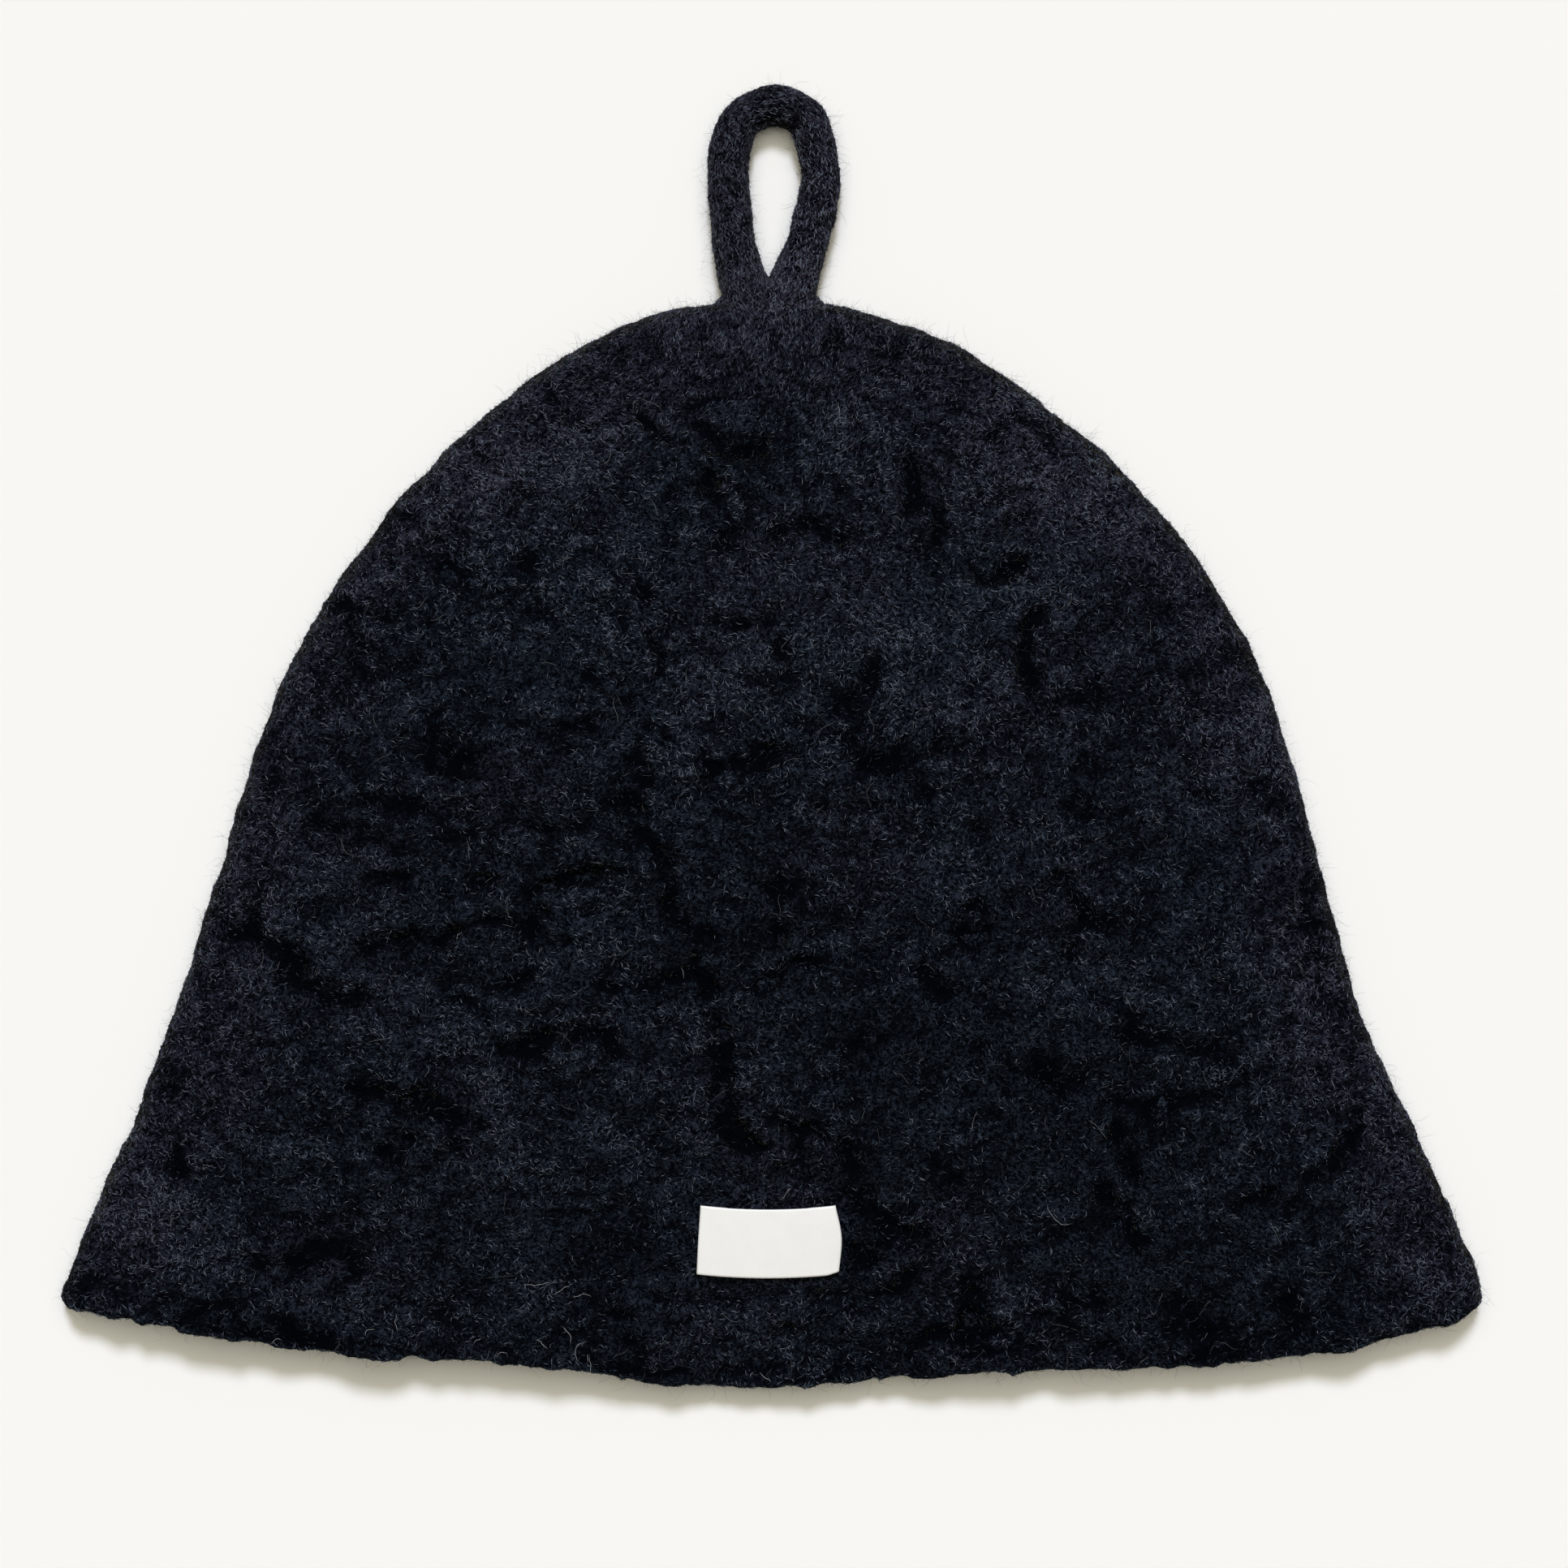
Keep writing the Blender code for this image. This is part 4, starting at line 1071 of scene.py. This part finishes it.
loop = {
    "width": 33 * mm,
    "cord": 10 * mm,
    "rootReach": 5 * mm,
    "rings": 150,
    "sides": 28,
    "voxel": 0.55 * mm,
    "lumps": 0.30 * mm,
    "twist": 0.10 * mm,  # depth of the grooves that wind along the cord
    "fuzz": (5000, 350),  # how many short and long fibres
    "coats": {"plum": 6400, "lit": 3600},
    "length": (1.2 * mm, 2.8 * mm),
    "rootSides": 36,
    "winds": (3, 5),  # grooves round the cord, and turns along it
    "windNoise": ((1.5, 9 * mm, 90),),
    "lumpNoise": ((1, 6 * mm, 91), (0.5, 3 * mm, 92), (0.3, 1.6 * mm, 93)),
    "patches": ((0.6, 3.5 * mm, 95),),
    "patchRange": (0.05, 1.8),
}


# rings of a tube or loft, joined to a closed solid with a fan at each end
def closedRings(rings, start):
    count, sides = rings.shape[:2]
    ids = np.arange(count * sides).reshape(count, sides) + start
    points = np.concatenate([rings.reshape(-1, 3), rings[[0, -1]].mean(axis=1)])
    low, high = start + count * sides, start + count * sides + 1
    first = np.column_stack([np.roll(ids[0], -1), ids[0], np.full(sides, low)])
    last = np.column_stack([ids[-1], np.roll(ids[-1], -1), np.full(sides, high)])
    return points, ringQuads(ids), np.concatenate([first, last])


# the loop: a round cord carried along its line and an oval root, fused by a fine remesh, then roughened
# by lumps and by grooves that wind along the cord
def makeLoop():
    radius = loop["cord"] / 2
    half = loop["width"] / 2 - radius
    reach = loopHigh[1] - crownTop - radius
    across, along, girth = loopLine.T
    line = np.column_stack([across * half, crownTop + along * reach, girth * radius])
    line = evenly(smoothLine(line), loop["rings"])
    lying = np.clip((line[:, 1] - crownTop) / reach, 0, 1)
    height = np.maximum(line[:, 2], cap["foldRadius"] + (radius - cap["foldRadius"]) * lying)
    centre = np.column_stack([line[:, :2], height])
    tangent = unit(np.gradient(np.column_stack([line[:, :2], 0 * height]), axis=0))
    beside = np.column_stack([tangent[:, 1], -tangent[:, 0], 0 * height])
    angle = np.linspace(0, 2 * math.pi, loop["sides"], endpoint=False)[None, :, None]
    size = line[:, 2][:, None, None]
    cord = centre[:, None] + size * (np.cos(angle) * beside[:, None] + np.sin(angle) * up)
    legs = loopLine[[1, -2], 0] * half
    breadth = legs[1] - legs[0] + loop["cord"]
    turn = np.linspace(0, 2 * math.pi, loop["rootSides"], endpoint=False)[None, :]
    reachShare, width, thick = (column[:, None] for column in smoothLine(rootLine, 5).T)
    root = np.stack([
        legs.mean() + width * breadth / 2 * np.cos(turn),
        crownTop + reachShare * loop["rootReach"] + 0 * turn,
        cap["foldRadius"] + thick * radius * np.sin(turn),
    ], axis=-1)
    cordPoints, cordQuads, cordEnds = closedRings(cord, 0)
    rootPoints, rootQuads, rootEnds = closedRings(root, len(cordPoints))
    draftFaces = [cordQuads[:, ::-1], rootQuads, cordEnds[:, ::-1], rootEnds]
    draftPoints = np.concatenate([cordPoints, rootPoints])
    rough = newPiece("loopDraft", draftPoints, draftFaces, bpy.data.materials.new("draft"))
    fuse = rough.modifiers.new("fuse", "REMESH")
    fuse.mode = "VOXEL"
    fuse.voxel_size = loop["voxel"]
    even = rough.modifiers.new("even", "SMOOTH")
    even.factor = 0.5
    even.iterations = 2
    points, faces = evaluated(rough)
    bpy.data.objects.remove(rough)

    normals = pointNormals(points, faces)
    nearest = np.empty(len(points), int)
    for chunk in np.array_split(np.arange(len(points)), 40):
        gap = np.linalg.norm(points[chunk, None] - centre[None], axis=2)
        nearest[chunk] = gap.argmin(axis=1)
    offset = points - centre[nearest]
    bearing = np.arctan2(offset[:, 2], np.sum(offset * beside[nearest], axis=1))
    travelled = nearest / loop["rings"] * 2 * math.pi
    grooves, turns = loop["winds"]
    wound = np.sin(layered(points, grooves * bearing + turns * travelled, loop["windNoise"]))
    lumps = layered(points, 0, loop["lumpNoise"])
    points = points + normals * (loop["lumps"] * lumps + loop["twist"] * wound)[:, None]
    points[:, 2] = np.maximum(points[:, 2], 0)
    normals = pointNormals(points, faces)
    # painted shade: the cord is darker in its winding grooves and low lumps; the tones add painted shade
    # under its arch
    shadeAndTone = 0.6 * np.clip(-0.3 * wound - 0.7 * lumps, 0, 1) - 0.6 * toneAndLoopShade(points)
    shadeAndTone = np.clip(shadeAndTone, 0, shading["darkest"])
    finish = feltMaterial("felt cord", feltLook["cordLight"], feltLook["cordLight"])
    piece = newPiece("loopBody", points, [faces], finish, {"shadeAndTone": shadeAndTone})

    pieces = [piece]
    middle = points[faces].mean(axis=1)
    patch = layered(middle, 0.9, loop["patches"]) + toneAndLoopShade(middle)
    patch = np.clip(patch, *loop["patchRange"]) * (middle[:, 2] > 0.6 * mm)
    for shade, count in loop["coats"].items():
        places, normal, chosen = scatter(points, faces, normals, patch, count)
        grain = tangent[nearest[faces[chosen, 0]]]
        lines = lyingFibres(places, normal, grain, 0.9, between(loop["length"], count), 1)
        finish, _ = newMaterial(f"{shade} cord fibre", fibreLook[shade], 0.85, 0.10)
        name = f"loop{shade.capitalize()}Fibres"
        pieces.append(fibrePiece(name, lines, between(fibreLook["width"], count), finish))
    return pieces + makeFuzz("loop", points, faces, normals, loop["fuzz"])


# the label: a ribbon carried along one path, from the flap under its left end round the fold, across the
# top and round to the flap under its right end, at each height v of its breadth
def makeLabel():
    steps, rows = label["steps"], label["rows"]
    v = np.linspace(0, 1, rows + 1)[None, :]
    left, right = (curveHeights(v, np.array(label[end])) for end in ("left", "right"))
    r = label["foldRadius"]
    turn = np.linspace(0, math.pi, label["foldSteps"] + 1)[1:-1]
    topShare = np.linspace(0, 1, steps + 1)
    flap = np.linspace(1, 0, label["flapSteps"] + 1)
    inset = np.concatenate([flap * label["flap"] + r, r - r * np.sin(turn)])
    lift = np.concatenate([0 * flap, r - r * np.cos(turn)])
    xLeft = left + inset[:, None]
    xRight = (right - inset[:, None])[::-1]
    xTop = left + r + (right - left - 2 * r) * topShare[:, None]
    x = np.concatenate([xLeft, xTop, xRight])
    rise = np.concatenate([lift, np.full(steps + 1, 2 * r), lift[::-1]])[:, None]
    u = (x - left) / (right - left)
    y = crownTop - label["low"] + (label["low"] - label["high"]) * v - label["bow"] * (1 - (2 * u - 1) ** 2)
    turnUp, start = label["cornerUp"]
    y = y + turnUp * np.clip((u - start) / (1 - start), 0, 1) * (1 - v) ** 2
    leftSag, rightSag = label["sagShares"]
    leftEnd = np.clip((leftSag - u) / leftSag, 0, 1) ** 2
    rightEnd = np.clip((u - rightSag) / (1 - rightSag), 0, 1) ** 2
    tall, size, seed = label["wave"]
    sag = tall * noise(np.stack([x, y, 0 * x], axis=-1), size, seed)
    sag = sag - label["sag"] * (rightEnd + 0.5 * leftEnd)
    z = frontHeight(x, y) + label["lift"] + label["ribbon"] / 2 + rise + sag * (rise > 0)
    points = np.stack([x, y, z], axis=-1)
    ids = np.arange(x.size).reshape(x.shape)
    a, b, c, d = ids[:-1, :-1], ids[1:, :-1], ids[1:, 1:], ids[:-1, 1:]
    quads = np.stack([a, b, c, d], axis=-1).reshape(-1, 4)
    made, shader = newMaterial("white ribbon", label["dark"], 0.55, 0.25)
    place = Wire(made.node_tree).node("ShaderNodeTexCoord", {}, {}, "Object")
    ribs, picks = (
        place.node("ShaderNodeTexWave", {"bands_direction": axis}, {"Vector": place, **label[threads]})
        for axis, threads in (("X", "ribs"), ("Y", "picks"))
    )
    cloth = clouds(place, label["cloth"], 3.0)
    ribShade, pickShade, clothShade = label["shades"]
    shade = (ribShade * ribs + pickShade * picks + clothShade * cloth).atMost(1)
    join(mixColours(shade, (*label["dark"], 1), (*label["light"], 1)), shader.inputs["Base Color"])
    weave = {"Strength": 0.2, "Distance": label["bump"], "Height": ribs + label["pickHeight"] * picks}
    join(place.node("ShaderNodeBump", {}, weave), shader.inputs["Normal"])
    piece = newPiece("labelRibbon", points.reshape(-1, 3), [quads], made)
    wall = piece.modifiers.new("ribbon", "SOLIDIFY")
    wall.thickness = label["ribbon"]
    wall.offset = 0
    return piece


view = {
    "across": 386.4 * mm,  # the width that the picture takes in, level with the hat's fold
    "centre": (3.2 * mm, -12.05 * mm),
    "distance": 1.05,
    "sunElevation": 53,
    "sunAngle": 13,
    "overheadElevation": 76,
    "overheadAngle": 62,
    "horizon": (0.60, 0.59, 0.56),
    "sky": (0.105, 0.099, 0.083),
    "overhead": (0.465, 0.444, 0.370),
    "sun": (0.430, 0.457, 0.547),
    "floor": (0.935, 0.925, 0.895),
    "floorReach": 3.0,
    "floorGap": 0.05 * mm,  # below the hat
    "horizonRange": (0.06, 0.20),
    "sensor": 36,
    "clip": (0.01, 20),
}


# a broad far light that reaches the whole scene from one direction; brightness is what a white floor shows
def farLight(name, colour, angle, elevation):
    lamp = bpy.data.lights.new(name, "SUN")
    lamp.energy = math.pi * max(colour) / math.sin(math.radians(elevation))
    lamp.color = tuple(part / max(colour) for part in colour)
    lamp.angle = math.radians(angle)
    made = bpy.data.objects.new(name, lamp)
    made.rotation_euler = (math.radians(elevation - 90), 0, 0)
    bpy.context.scene.collection.objects.link(made)


def makeStudio():
    camera = bpy.data.objects.new("camera", bpy.data.cameras.new("camera"))
    camera.location = (*view["centre"], view["distance"] + cap["foldRadius"])
    camera.data.sensor_width = view["sensor"]
    camera.data.lens = view["sensor"] * view["distance"] / view["across"]
    camera.data.clip_start, camera.data.clip_end = view["clip"]
    bpy.context.scene.collection.objects.link(camera)
    bpy.context.scene.camera = camera

    farLight("soft light", view["sun"], view["sunAngle"], view["sunElevation"])
    farLight("overhead light", view["overhead"], view["overheadAngle"], view["overheadElevation"])

    world = bpy.data.worlds.new("pale room")
    world.use_nodes = True
    way = Wire(world.node_tree).node("ShaderNodeTexCoord", {}, {}, "Generated")
    height = way.node("ShaderNodeSeparateXYZ", {}, {"Vector": way}, out="Z")
    room = mixColours(slope(height, *view["horizonRange"]), (*view["horizon"], 1), (*view["sky"], 1))
    join(room, world.node_tree.nodes["Background"].inputs["Color"])
    bpy.context.scene.world = world
    bpy.context.scene.view_settings.view_transform = "Standard"

    size, low = view["floorReach"], -view["floorGap"]
    corners = np.array([(-size, -size, low), (size, -size, low), (size, size, low), (-size, size, low)])
    finish, _ = newMaterial("pale floor", view["floor"], 0.7, 0.0)
    floor = newPiece("floor", corners, [np.array([[0, 1, 2, 3]])], finish, smooth=False)


makeStudio()
print("studio made")

capBody, capPoints, capFaces, capNormals, capShadeAndTone, capRim = makeCap()
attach(capBody, "root")
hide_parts("felt_cap")
print("cap made:", len(capBody.data.polygons), "faces")

coats = makeCoats(capPoints, capFaces, capNormals, capShadeAndTone, capRim)
coats += makeStrays(capPoints, capFaces, capNormals)
coats += makeFuzz("cap", capPoints, capFaces, capNormals, cap["fuzz"])
for coat in coats:
    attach(coat, "root")
print("coats made:", sum(len(coat.data.polygons) for coat in coats), "faces")

loopPieces = makeLoop()
for piece in loopPieces:
    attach(piece, "root")
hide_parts("hanging_loop")
print("loop made:", sum(len(piece.data.polygons) for piece in loopPieces), "faces")

labelRibbon = makeLabel()
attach(labelRibbon, "root")
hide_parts("sewn_label")
print("label made")
